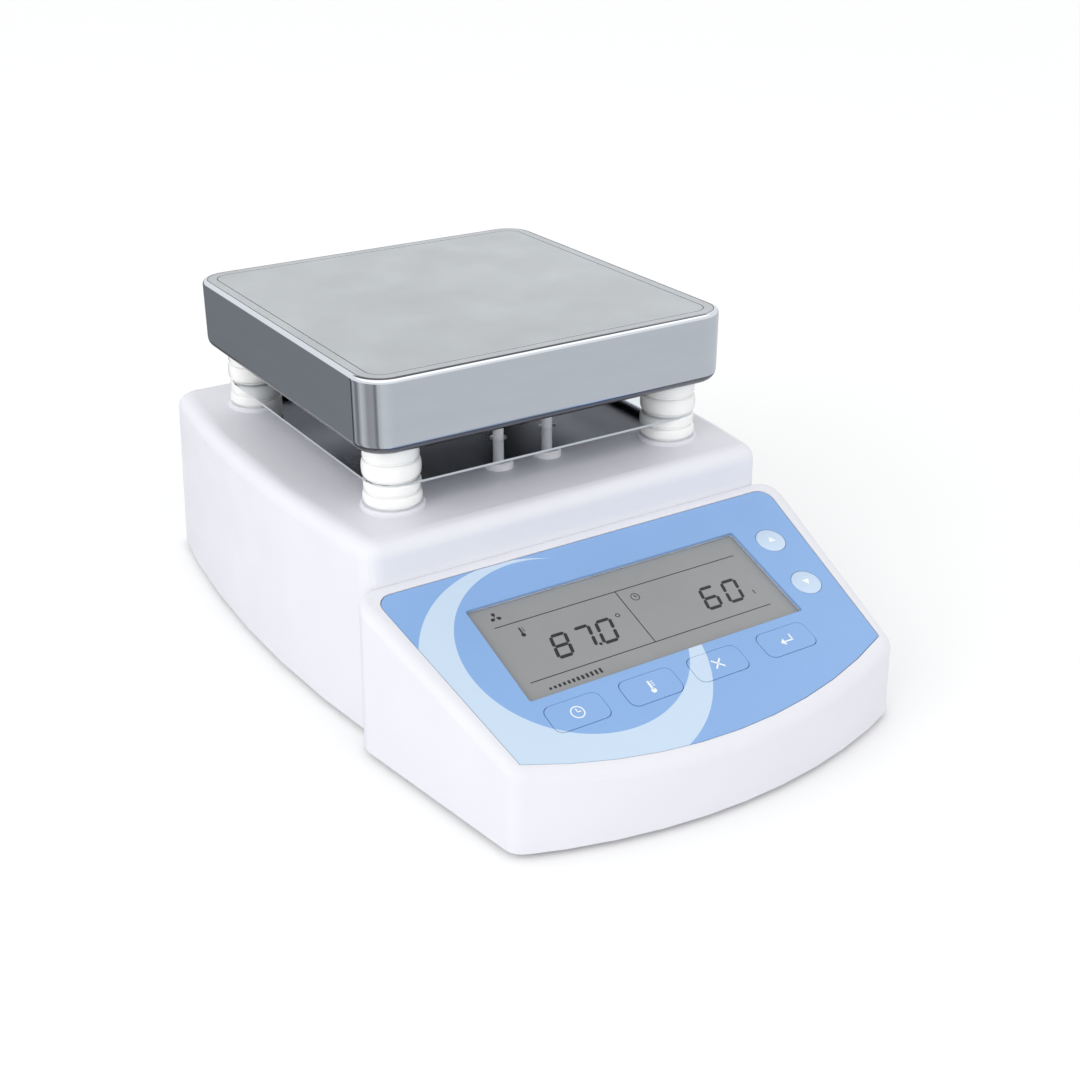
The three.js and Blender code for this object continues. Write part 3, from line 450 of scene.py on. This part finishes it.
circuit_board = make_finish(
    "circuit_board", (0.035, 0.19, 0.085), (0.02, 0.13, 0.055), (0.28, 0.42),
    patch=350, grain=1200, depth=0.00002, coat=0.3)
ferrite = make_finish(
    "ferrite", (0.055, 0.055, 0.058), (0.035, 0.035, 0.038), (0.5, 0.66),
    patch=250, grain=1600, depth=0.00002)
laminated_steel = make_finish(
    "laminated_steel", (0.20, 0.19, 0.18), (0.12, 0.115, 0.11), (0.4, 0.6),
    patch=90, grain=700, depth=0.00005, stretch=(1, 1, 6), metallic=0.7)
brass = make_finish(
    "brass", (0.74, 0.56, 0.25), (0.62, 0.45, 0.19), (0.2, 0.34),
    patch=300, grain=1800, depth=0.000004, metallic=1.0)
display_grey = make_finish(
    "display_glass", (0.300, 0.306, 0.308), (0.280, 0.287, 0.290), (0.30, 0.36),
    patch=30, grain=1500, depth=0.000002)
display_ink = make_finish(
    "display_ink", (0.020, 0.020, 0.022), (0.014, 0.014, 0.016), (0.32, 0.42),
    patch=200, grain=1500, depth=0.000002)
print_white = make_finish(
    "print_white", (0.90, 0.92, 0.94), (0.84, 0.87, 0.90), (0.30, 0.40),
    patch=300, grain=2000, depth=0.000002)
key_film = make_finish(
    "key_film", (0.56, 0.69, 0.84), (0.53, 0.66, 0.82), (0.26, 0.36),
    patch=60, grain=2600, depth=0.000005)

# %% [markdown]
# ## The panel's own frame
# The panel slopes, so places on it are easiest in its own frame: X across, Y up the slope,
# Z out of the surface. The keys travel straight into the panel, so the travel direction
# that the model states for a key gives the slope, and the overlay's mesh gives the origin.

# %% Panel frame
key_joint = next(j for j in frame["joints"] if j["name"] == "up_key_press")
outward = -Vector(key_joint["axis"]).normalized()
across = Vector((1, 0, 0))
up_slope = outward.cross(across)
PANEL_TILT = math.atan2(up_slope.z, up_slope.y)
turn_to_panel = Matrix((across, up_slope, outward)).transposed().to_4x4()


def spread_on_panel(node):
    """Lowest and highest corner of a node in the panel's directions."""
    points = [turn_to_panel.inverted() @ v.co for v in nodes[node].data.vertices]
    low = Vector([min(p[i] for p in points) for i in range(3)])
    high = Vector([max(p[i] for p in points) for i in range(3)])
    return low, high


overlay_low, overlay_high = spread_on_panel("panel_overlay")
panel_origin = turn_to_panel @ Vector((0, overlay_high.y, overlay_high.z))
PANEL = Matrix.Translation(panel_origin) @ turn_to_panel


def in_panel(node):
    low, high = spread_on_panel(node)
    shift = Vector((0, overlay_high.y, overlay_high.z))
    return low - shift, high - shift


print("panel tilt", round(math.degrees(PANEL_TILT), 2), "origin", panel_origin)

# %% [markdown]
# ## Printed overlay
# The overlay is a polyester film printed from behind: one flat blue, with a pale crescent
# that sweeps round the display. Two circles that don't share a centre leave a crescent
# between them, so the material compares each point's distance from both centres. A mapping
# node of the texture kind turns the pattern into the panel's slope.

# %% Overlay material
SWEEP_OUTER = (-37 * MM, -48 * MM, 48.5 * MM)
SWEEP_INNER = (-30.5 * MM, -41 * MM, 39.5 * MM)
SWEEP_BLUR = 0.06 * MM
SWEEP_COLOR = (0.56, 0.69, 0.84)


def circle_mask(tree, vector, circle):
    """1 inside the circle, 0 outside, with an edge as crisp as a print."""
    x, y, radius = circle
    distance = tree.nodes.new("ShaderNodeVectorMath")
    distance.operation = "DISTANCE"
    distance.inputs[1].default_value = (x, y, 0)
    edge = tree.nodes.new("ShaderNodeMapRange")
    edge.inputs["From Min"].default_value = radius + SWEEP_BLUR
    edge.inputs["From Max"].default_value = radius - SWEEP_BLUR
    tree.links.new(vector, distance.inputs[0])
    tree.links.new(distance.outputs["Value"], edge.inputs["Value"])
    return edge.outputs["Result"]


def make_overlay_film():
    material = make_finish(
        "overlay_film", (0.245, 0.425, 0.745), (0.235, 0.410, 0.725), (0.30, 0.38),
        patch=25, grain=2600, depth=0.000005)
    tree = material.node_tree
    shader = tree.nodes["Principled BSDF"]
    where = tree.nodes.new("ShaderNodeTexCoord")
    turned = tree.nodes.new("ShaderNodeMapping")
    turned.vector_type = "TEXTURE"
    turned.inputs["Location"].default_value = panel_origin
    turned.inputs["Rotation"].default_value = (PANEL_TILT, 0, 0)
    flat = tree.nodes.new("ShaderNodeVectorMath")
    flat.operation = "MULTIPLY"
    flat.inputs[1].default_value = (1, 1, 0)
    tree.links.new(where.outputs["Object"], turned.inputs["Vector"])
    tree.links.new(turned.outputs["Vector"], flat.inputs[0])
    outer = circle_mask(tree, flat.outputs[0], SWEEP_OUTER)
    inner = circle_mask(tree, flat.outputs[0], SWEEP_INNER)
    crescent = tree.nodes.new("ShaderNodeMath")
    crescent.operation = "SUBTRACT"
    crescent.use_clamp = True
    tree.links.new(outer, crescent.inputs[0])
    tree.links.new(inner, crescent.inputs[1])
    blue = shader.inputs["Base Color"].links[0].from_socket
    printed = blend_colors(tree, crescent.outputs[0], blue, SWEEP_COLOR)
    tree.links.new(printed, shader.inputs["Base Color"])
    return material


overlay_film = make_overlay_film()

# %% [markdown]
# ## Parts that keep their shape
# Most parts come from the model as they are. Their meshes are loose triangles, which would
# shade in facets, so a small geometry-nodes modifier merges the points, shades the faces
# smooth and keeps every edge that turns sharply. A weighted-normal modifier then keeps the
# flats flat next to their rounded edges.

# %% Smoothing
MERGE_DISTANCE = 0.01 * MM
SHARP_ANGLE = 34


def make_smoother():
    group = bpy.data.node_groups.new("smooth_by_angle", "GeometryNodeTree")
    group.interface.new_socket(name="Geometry", in_out="INPUT", socket_type="NodeSocketGeometry")
    group.interface.new_socket(name="Geometry", in_out="OUTPUT", socket_type="NodeSocketGeometry")
    given = group.nodes.new("NodeGroupInput")
    result = group.nodes.new("NodeGroupOutput")
    merge = group.nodes.new("GeometryNodeMergeByDistance")
    merge.inputs["Distance"].default_value = MERGE_DISTANCE
    faces = group.nodes.new("GeometryNodeSetShadeSmooth")
    faces.domain = "FACE"
    edges = group.nodes.new("GeometryNodeSetShadeSmooth")
    edges.domain = "EDGE"
    edges.inputs["Shade Smooth"].default_value = False
    angle = group.nodes.new("GeometryNodeInputMeshEdgeAngle")
    sharp = group.nodes.new("FunctionNodeCompare")
    sharp.operation = "GREATER_THAN"
    sharp.inputs[1].default_value = math.radians(SHARP_ANGLE)
    link = group.links.new
    link(given.outputs[0], merge.inputs["Geometry"])
    link(merge.outputs["Geometry"], faces.inputs["Geometry"])
    link(faces.outputs["Geometry"], edges.inputs["Geometry"])
    link(angle.outputs["Unsigned Angle"], sharp.inputs[0])
    link(sharp.outputs["Result"], edges.inputs["Selection"])
    link(edges.outputs["Geometry"], result.inputs[0])
    return group


SMOOTHER = make_smoother()


def dress(node, material):
    """Gives a part from the model its finish and smooth shading."""
    part = nodes[node]
    part.data.materials.clear()
    part.data.materials.append(material)
    smooth = part.modifiers.new("smooth", "NODES")
    smooth.node_group = SMOOTHER
    weighted = part.modifiers.new("weighted", "WEIGHTED_NORMAL")
    weighted.keep_sharp = True


# %% [markdown]
# Each part of the model gets the finish of its real material. The membrane keys wear the
# same film as the overlay, because on such panels the film runs over them, and the sweep is
# printed across keys and film alike. Parts that repeat at the four corners share a finish.

# %% Dress the parts
PLACES = ["front_left", "front_right", "rear_left", "rear_right"]
finishes = {
    "upper_housing": white_moulding,
    "base_plate": white_moulding,
    "heater_plate": cast_aluminium,
    "heating_element": zinc_steel,
    "insulation_pad": ceramic_fibre,
    "hotplate_bottom_cover": dark_steel,
    "temperature_sensor": zinc_steel,
    "heat_shield": mirror_steel,
    "panel_overlay": overlay_film,
    "display_glass": display_grey,
    "display_frame": black_plastic,
    "control_board": circuit_board,
    "motor": cast_aluminium,
    "motor_bracket": zinc_steel,
    "rotor_shaft": zinc_steel,
    "magnet_yoke": zinc_steel,
    "drive_magnet_left": ferrite,
    "drive_magnet_right": ferrite,
    "power_board": circuit_board,
    "transformer": laminated_steel,
    "power_inlet": black_plastic,
    "fuse_drawer": black_plastic,
    "neutral_pin": brass,
    "earth_pin": brass,
    "line_pin": brass,
    "power_switch_frame": black_plastic,
    "power_switch_rocker": rocker_plastic,
    "up_key": key_film,
    "down_key": key_film,
    "time_key": overlay_film,
    "temperature_key": overlay_film,
    "exit_key": overlay_film,
    "enter_key": overlay_film,
    "heater_lead_sleeve_left": lead_sleeve,
    "heater_lead_sleeve_right": lead_sleeve,
}
for corner in PLACES:
    finishes[f"foot_{corner}"] = foot_rubber
    finishes[f"stud_{corner}"] = zinc_steel
    finishes[f"stud_nut_{corner}"] = zinc_steel
for node, material in finishes.items():
    dress(node, material)
print(len(finishes), "parts dressed")

# %% [markdown]
# ## New pieces
# A new piece starts as a bmesh. When its form is ready it becomes an object at the origin,
# rides on a body of the model and hides the part it stands for. Faces are smooth, and an
# edge stays sharp where its faces meet at more than a set angle.

# %% Piece helpers


def make_piece(name, bm, materials, body, stands_for=(), sharp=SHARP_ANGLE):
    for face in bm.faces:
        face.smooth = True
    for edge in bm.edges:
        if len(edge.link_faces) == 2:
            edge.smooth = edge.calc_face_angle() < math.radians(sharp)
    mesh = bpy.data.meshes.new(name)
    bm.to_mesh(mesh)
    bm.free()
    for material in materials:
        mesh.materials.append(material)
    piece = bpy.data.objects.new(name, mesh)
    scene.collection.objects.link(piece)
    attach(piece, body)
    if stands_for:
        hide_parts(*stands_for)
    return piece


def middle(node):
    low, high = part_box(node)
    return (Vector(low) + Vector(high)) / 2


def arc(center, radius, start, end, steps):
    """Points [r, z] on an arc of a turned profile, angles in degrees."""
    points = []
    for i in range(steps + 1):
        angle = math.radians(start + (end - start) * i / steps)
        points.append((center[0] + radius * math.cos(angle), center[1] + radius * math.sin(angle)))
    return points


def turned_piece(profile, center, steps):
    """A closed profile of (radius, height) points, spun once round an upright axis."""
    bm = bmesh.new()
    verts = [bm.verts.new((radius, 0, height)) for radius, height in profile]
    edges = [bm.edges.new((a, b)) for a, b in zip(verts, verts[1:] + verts[:1])]
    bmesh.ops.spin(bm, geom=verts + edges, cent=(0, 0, 0), axis=(0, 0, 1),
                   angle=2 * math.pi, steps=steps, use_merge=True)
    bmesh.ops.remove_doubles(bm, verts=bm.verts, dist=0.001 * MM)
    bmesh.ops.recalc_face_normals(bm, faces=bm.faces)
    bmesh.ops.translate(bm, verts=bm.verts, vec=(center.x, center.y, 0))
    return bm


# %% [markdown]
# ## Hotplate cap
# The cap is pressed from one sheet: round upright corners, a tight radius along the top and
# a fuller one along the bottom, where the sheet turns under. A beveled cube gives all of
# these radii. Insets in the top face press two fine lines into it, one along the rounded
# edge and one round the satin field, and a solidify modifier gives the shell its thickness.
# The two lines and a strip of the hem are coloured dark steel as painted shade: shade in
# the grooves, and the shaded space under the plate that the rolled lower edge reflects.

# %% Cap
CORNER_RADIUS = 12 * MM
TOP_RADIUS = 1.8 * MM
HEM_RADIUS = 4.2 * MM
HEM_RIM = 0.5 * MM
# How far up the hem the steel is painted dark, as painted shade that the rolled edge reflects.
HEM_SHADE = 3.6 * MM
CAP_SHEET = 1.2 * MM
CAP_SHARP_ANGLE = 25
LINE_WIDTH = 0.22 * MM
LINE_DEPTH = 0.18 * MM
BAND_WIDTH = 3.3 * MM
SATIN, PAINTED_SHADE = 1, 2


def level_edges(bm, height):
    return [e for e in bm.edges if all(abs(v.co.z - height) < 0.01 * MM for v in e.verts)]


def round_edges(bm, edges, radius, segments):
    bmesh.ops.bevel(bm, geom=edges, offset=radius, offset_type="OFFSET", affect="EDGES",
                    segments=segments, profile=0.5, material=-1)


def inset_field(bm, field, width, depth, finish):
    made = bmesh.ops.inset_region(bm, faces=[field], thickness=width, depth=depth,
                                  use_boundary=True, use_even_offset=True)
    for face in made["faces"]:
        face.material_index = finish


# The pressed lines get dark steel: painted shade in the grooves.
def press_line(bm, field):
    inset_field(bm, field, LINE_WIDTH, -LINE_DEPTH, PAINTED_SHADE)
    inset_field(bm, field, LINE_WIDTH, LINE_DEPTH, PAINTED_SHADE)


def make_cap():
    low, high = (Vector(corner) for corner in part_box("hotplate_cap"))
    size = high - low
    bm = bmesh.new()
    place = Matrix.Translation((low + high) / 2) @ Matrix.Diagonal((*size, 1))
    bmesh.ops.create_cube(bm, size=1.0, matrix=place)
    upright = [e for e in bm.edges if abs(e.verts[0].co.z - e.verts[1].co.z) > size.z / 2]
    round_edges(bm, upright, CORNER_RADIUS, 18)
    round_edges(bm, level_edges(bm, high.z), TOP_RADIUS, 6)
    round_edges(bm, level_edges(bm, low.z), HEM_RADIUS, 7)
    field = max(bm.faces, key=lambda face: (round(face.calc_center_median().z, 5), face.calc_area()))
    press_line(bm, field)
    inset_field(bm, field, BAND_WIDTH, 0, SATIN)
    press_line(bm, field)
    field.material_index = SATIN
    # Painted shade: hem faces between the rim and HEM_SHADE get dark steel, standing in for the shaded
    # underside that the rolled edge reflects.
    for face in bm.faces:
        height = face.calc_center_median().z - low.z
        if HEM_RIM < height < HEM_SHADE:
            face.material_index = PAINTED_SHADE
    underside = min(bm.faces, key=lambda face: (round(face.calc_center_median().z, 5), -face.calc_area()))
    bmesh.ops.delete(bm, geom=[underside], context="FACES_ONLY")
    cap = make_piece("hotplate_shell", bm, [polished_steel, satin_steel, dark_steel], "chassis",
                     ["hotplate_cap"], sharp=CAP_SHARP_ANGLE)
    sheet = cap.modifiers.new("sheet", "SOLIDIFY")
    sheet.thickness = CAP_SHEET
    sheet.offset = -1
    weighted = cap.modifiers.new("weighted", "WEIGHTED_NORMAL")
    weighted.keep_sharp = True
    print("cap", [round(c / MM, 1) for c in size], "mm,", len(cap.data.polygons), "faces")


make_cap()

# %% [markdown]
# ## Porcelain stand-offs
# Each stand-off is a pair of glazed beads on a steel stud. A bead is a body of revolution,
# so its profile is drawn once and spun: a plain rim, a narrow groove, and a full bulge that
# ends in a small foot. The lower bead has a shorter rim than the upper one.

# %% Beads
BEAD_RIM = 10.0 * MM
BEAD_NECK = 9.1 * MM
BEAD_BULGE = 10.5 * MM
BEAD_BORE = 2.9 * MM
BEAD_LIP = 0.5 * MM
GROOVE_HEIGHT = 0.9 * MM
UPPER_RIM = 8.8 * MM
LOWER_RIM = 3.5 * MM
BULGE_STEPS = 14
FULLNESS = 0.55
BEAD_STEPS = 56


def bead_profile(bottom, top, rim):
    groove = top - rim
    bulge_top = groove - GROOVE_HEIGHT
    foot = bottom + BEAD_LIP
    center = (bulge_top + foot) / 2
    half = (bulge_top - foot) / 2
    bulge = []
    for i in range(BULGE_STEPS + 1):
        angle = math.radians(-90 + 180 * i / BULGE_STEPS)
        swell = (BEAD_BULGE - BEAD_NECK) * math.cos(angle) ** FULLNESS
        bulge.append((BEAD_NECK + swell, center + half * math.sin(angle)))
    rim_low = arc((BEAD_RIM - BEAD_LIP, groove + BEAD_LIP), BEAD_LIP, -90, 0, 4)
    rim_high = arc((BEAD_RIM - BEAD_LIP, top - BEAD_LIP), BEAD_LIP, 0, 90, 4)
    return [(BEAD_BORE, bottom), (BEAD_NECK, bottom), *bulge, (BEAD_NECK, groove),
            *rim_low, *rim_high, (BEAD_BORE, top)]


def make_beads():
    for corner in PLACES:
        for level, rim in (("upper", UPPER_RIM), ("lower", LOWER_RIM)):
            node = f"{level}_insulator_{corner}"
            low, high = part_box(node)
            bm = turned_piece(bead_profile(low[2], high[2], rim), middle(node), BEAD_STEPS)
            make_piece(f"{level}_bead_{corner}", bm, [porcelain], "chassis", [node])


make_beads()

# %% [markdown]
# ## Lead grommets
# The two heater leads pass through the housing's top in small flanged rings. They are
# spun like the beads, with a rounded crown.

# %% Grommets
RING_BORE = 3.4 * MM
RING_NECK = 4.3 * MM
RING_CROWN = 0.8 * MM
FLANGE_HEIGHT = 2.8 * MM
RING_STEPS = 40


def make_grommets():
    for side in ("left", "right"):
        node = f"lead_grommet_{side}"
        low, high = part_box(node)
        radius = (high[0] - low[0]) / 2
        top = high[2]
        flange = top - FLANGE_HEIGHT
        profile = [
            (RING_BORE, low[2]), (RING_NECK, low[2]), (RING_NECK, flange), (radius, flange),
            *arc((radius - RING_CROWN, top - RING_CROWN), RING_CROWN, 0, 90, 5),
            *arc((RING_BORE + RING_CROWN, top - RING_CROWN), RING_CROWN, 90, 180, 5),
        ]
        bm = turned_piece(profile, middle(node), RING_STEPS)
        make_piece(f"lead_ring_{side}", bm, [grommet_white], "chassis", [node])


make_grommets()

# %% [markdown]
# ## Prints and display segments
# Prints are real ink on real film, so they are modelled as very thin raised shapes. Each
# starts as a flat outline in the panel's frame, is given a hair of thickness, and is moved
# to its place. Plain pictograms stand in for the words that such keys carry.

# %% Flat shapes
INK = 0.03 * MM


def flat_polygon(bm, points):
    return bm.faces.new([bm.verts.new((x * MM, y * MM, 0)) for x, y in points])


def flat_bar(bm, start, end, width):
    """A straight bar with square ends from one point to another."""
    a, b = Vector(start), Vector(end)
    side = (b - a).orthogonal().normalized() * width / 2
    return flat_polygon(bm, [a - side, b - side, b + side, a + side])


def flat_ring(bm, x, y, radius, width, segments=40):
    place = Matrix.Translation((x * MM, y * MM, 0))
    made = bmesh.ops.create_circle(bm, cap_ends=True, segments=segments, radius=radius * MM,
                                   matrix=place)
    face = made["verts"][0].link_faces[0]
    bmesh.ops.inset_region(bm, faces=[face], thickness=width * MM,
                           use_boundary=True, use_even_offset=True)
    bmesh.ops.delete(bm, geom=[face], context="FACES_ONLY")


def flat_disc(bm, x, y, radius, segments=32):
    place = Matrix.Translation((x * MM, y * MM, 0))
    bmesh.ops.create_circle(bm, cap_ends=True, segments=segments, radius=radius * MM, matrix=place)


def thicken(bm):
    """Turns flat faces into thin closed solids, with their lower side at height 0."""
    made = bmesh.ops.extrude_face_region(bm, geom=list(bm.faces), use_keep_orig=True)
    top = [item for item in made["geom"] if isinstance(item, bmesh.types.BMVert)]
    bmesh.ops.translate(bm, verts=top, vec=(0, 0, INK))
    bmesh.ops.recalc_face_normals(bm, faces=bm.faces)


def make_print(name, bm, place, material, body):
    thicken(bm)
    bmesh.ops.transform(bm, matrix=PANEL @ Matrix.Translation(place), verts=bm.verts)
    return make_piece(name, bm, [material], body)


# %% [markdown]
# The key pictograms: triangles on the two round keys, and a clock, a thermometer, a cross
# and a return arrow on the four keys in front. Each rides on its own key, so it goes down
# with it.

# %% Key pictograms


def draw_clock(bm, x=0, y=0, radius=2.5):
    line = radius * 0.17
    flat_ring(bm, x, y, radius, line)
    flat_bar(bm, (x, y - line / 2), (x, y + radius * 0.6), line)
    flat_bar(bm, (x - line / 2, y), (x + radius * 0.5, y), line)


def draw_thermometer(bm, x=0, y=0, height=4.2):
    bulb = height * 0.24
    flat_disc(bm, x, y - height * 0.4, bulb)
    flat_bar(bm, (x, y - height * 0.33), (x, y + height * 0.6), height * 0.18)
    for rise in (0.05, 0.26, 0.47):
        mark = y + rise * height
        flat_bar(bm, (x + height * 0.19, mark), (x + height * 0.4, mark), height * 0.08)


def draw_cross(bm):
    flat_bar(bm, (-1.8, -1.8), (1.8, 1.8), 0.6)
    flat_bar(bm, (-1.8, 1.8), (1.8, -1.8), 0.6)


def draw_return(bm):
    flat_bar(bm, (2.4, 2.0), (2.4, -0.6), 0.55)
    flat_bar(bm, (2.65, -0.6), (-1.2, -0.6), 0.55)
    flat_polygon(bm, [(-1.0, -2.1), (-1.0, 0.9), (-2.8, -0.6)])


def draw_triangle(direction):
    def draw(bm):
        flat_polygon(bm, [(-1.6, -1.1 * direction), (1.6, -1.1 * direction), (0, 1.5 * direction)])
    return draw


pictograms = {
    "up_key": draw_triangle(1),
    "down_key": draw_triangle(-1),
    "time_key": draw_clock,
    "temperature_key": draw_thermometer,
    "exit_key": draw_cross,
    "enter_key": draw_return,
}
for key, draw in pictograms.items():
    low, high = in_panel(key)
    bm = bmesh.new()
    draw(bm)
    place = Vector(((low.x + high.x) / 2, (low.y + high.y) / 2, high.z))
    make_print(f"{key}_mark", bm, place, print_white, key)
print(len(pictograms), "pictograms")

# %% [markdown]
# The display shows two readings in seven-segment digits, fine rules that part its fields,
# a propeller for stirring, a thermometer, a clock, and a row of bars for the speed. The digits lean, so they
# are drawn upright and then sheared.

# %% Display segments
DIGIT_HEIGHT = 9.3
DIGIT_WIDTH = 5.6
STROKE = 1.3
LEAN = 0.223
READING_LINE = -40.0
READINGS = [("8", -33.9), ("7", -24.6), ("0", -15.8), ("6", 28.2), ("0", 37.9)]
RULE_WIDTH = 0.34
RULES = [
    ((-51.2, -25.2), (49.4, -25.2)),
    ((-52.4, -50.6), (47.2, -50.6)),
    ((-2.9, -25.2), (-2.9, -50.6)),
]
SPEED_BARS = 12
SEGMENTS = {
    "6": "acdefg",
    "7": "abc",
    "8": "abcdefg",
    "0": "abcdef",
}


def segment_ends():
    w, h = DIGIT_WIDTH / 2, DIGIT_HEIGHT / 2
    return {
        "a": ((-w, h), (w, h)), "b": ((w, h), (w, 0)), "c": ((w, 0), (w, -h)),
        "d": ((-w, -h), (w, -h)), "e": ((-w, 0), (-w, -h)), "f": ((-w, h), (-w, 0)),
        "g": ((-w, 0), (w, 0)),
    }


def draw_segment(bm, start, end):
    """A bar with pointed ends that stops a little short of its neighbours."""
    a, b = Vector(start), Vector(end)
    along = (b - a).normalized()
    side = along.orthogonal().normalized() * STROKE / 2
    tip = STROKE * 0.12
    a, b = a + along * tip, b - along * tip
    shoulder = along * STROKE * 0.42
    flat_polygon(bm, [a, a + shoulder - side, b - shoulder - side, b,
                      b - shoulder + side, a + shoulder + side])


def draw_digit(bm, digit, x, y):
    before = set(bm.verts)
    ends = segment_ends()
    for letter in SEGMENTS[digit]:
        draw_segment(bm, *ends[letter])
    fresh = [v for v in bm.verts if v not in before]
    for vert in fresh:
        vert.co.x += LEAN * vert.co.y
    bmesh.ops.translate(bm, verts=fresh, vec=(x * MM, y * MM, 0))


def draw_propeller(bm, x, y):
    for blade in range(3):
        before = set(bm.verts)
        flat_polygon(bm, [(0, 0.2), (-0.75, 1.3), (-0.45, 2.1), (0.45, 2.1), (0.75, 1.3)])
        fresh = [v for v in bm.verts if v not in before]
        turn = Matrix.Rotation(math.radians(120 * blade), 4, "Z")
        bmesh.ops.transform(bm, matrix=turn, verts=fresh)
        bmesh.ops.translate(bm, verts=fresh, vec=(x * MM, y * MM, 0))


def make_display():
    bm = bmesh.new()
    for start, end in RULES:
        flat_bar(bm, start, end, RULE_WIDTH)
    for digit, x in READINGS:
        draw_digit(bm, digit, x, READING_LINE)
    flat_disc(bm, -21.1, -44.4, 0.62, 16)
    flat_ring(bm, -8.3, -35.2, 0.9, 0.32, 24)
    draw_propeller(bm, -48.6, -20.9)
    draw_thermometer(bm, -43.5, -29.9, 3.4)
    draw_clock(bm, 2.6, -29.9, 1.7)
    flat_bar(bm, (45.2, -44.2), (45.2, -42.4), 0.4)
    for step in range(SPEED_BARS):
        x = -47.5 + step * 1.8
        flat_bar(bm, (x, -55.6), (x, -54.6 + step * 0.1), 0.9)
    face = in_panel("display_glass")[1].z
    make_print("display_segments", bm, Vector((0, 0, face)), display_ink, "chassis")


make_display()

# %% [markdown]
# ## Screws under the base
# Four screws hold the base plate. Each head is spun from a low domed profile with a socket
# in its middle, and sits over its hole in the plate.

# %% Screws


HEAD_RADIUS = 3.4 * MM
HEAD_HEIGHT = 1.7 * MM
HEAD_EDGE = 1.0 * MM
SOCKET_RADIUS = 1.3 * MM
SOCKET_DEPTH = 1.1 * MM
SOCKET_RIM = 0.6 * MM
SHANK_RADIUS = 1.6 * MM
SHANK_LENGTH = 10 * MM
SCREW_STEPS = 30
SCREW_PLACES = [(-77, -84), (77, -84), (-74, 119), (74, 119)]


def screw_profile(face):
    """Half of a screw's outline, hanging with its head below the given face."""
    drop = face - HEAD_HEIGHT
    edge = arc((HEAD_RADIUS - HEAD_EDGE, drop + HEAD_EDGE), HEAD_EDGE, -90, 0, 5)
    return [
        (0, drop + SOCKET_DEPTH), (SOCKET_RADIUS, drop + SOCKET_DEPTH), (SOCKET_RADIUS, drop),
        (SOCKET_RADIUS + SOCKET_RIM, drop), *edge, (HEAD_RADIUS, face), (SHANK_RADIUS, face),
        (SHANK_RADIUS, face + SHANK_LENGTH), (0, face + SHANK_LENGTH),
    ]


def make_screws():
    profile = screw_profile(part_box("base_plate")[0][2])
    for corner, (x, y) in zip(PLACES, SCREW_PLACES):
        bm = turned_piece(profile, Vector((x * MM, y * MM, 0)), SCREW_STEPS)
        make_piece(f"base_screw_{corner}", bm, [zinc_steel], "chassis")


make_screws()

# %% Finish
low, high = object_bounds()
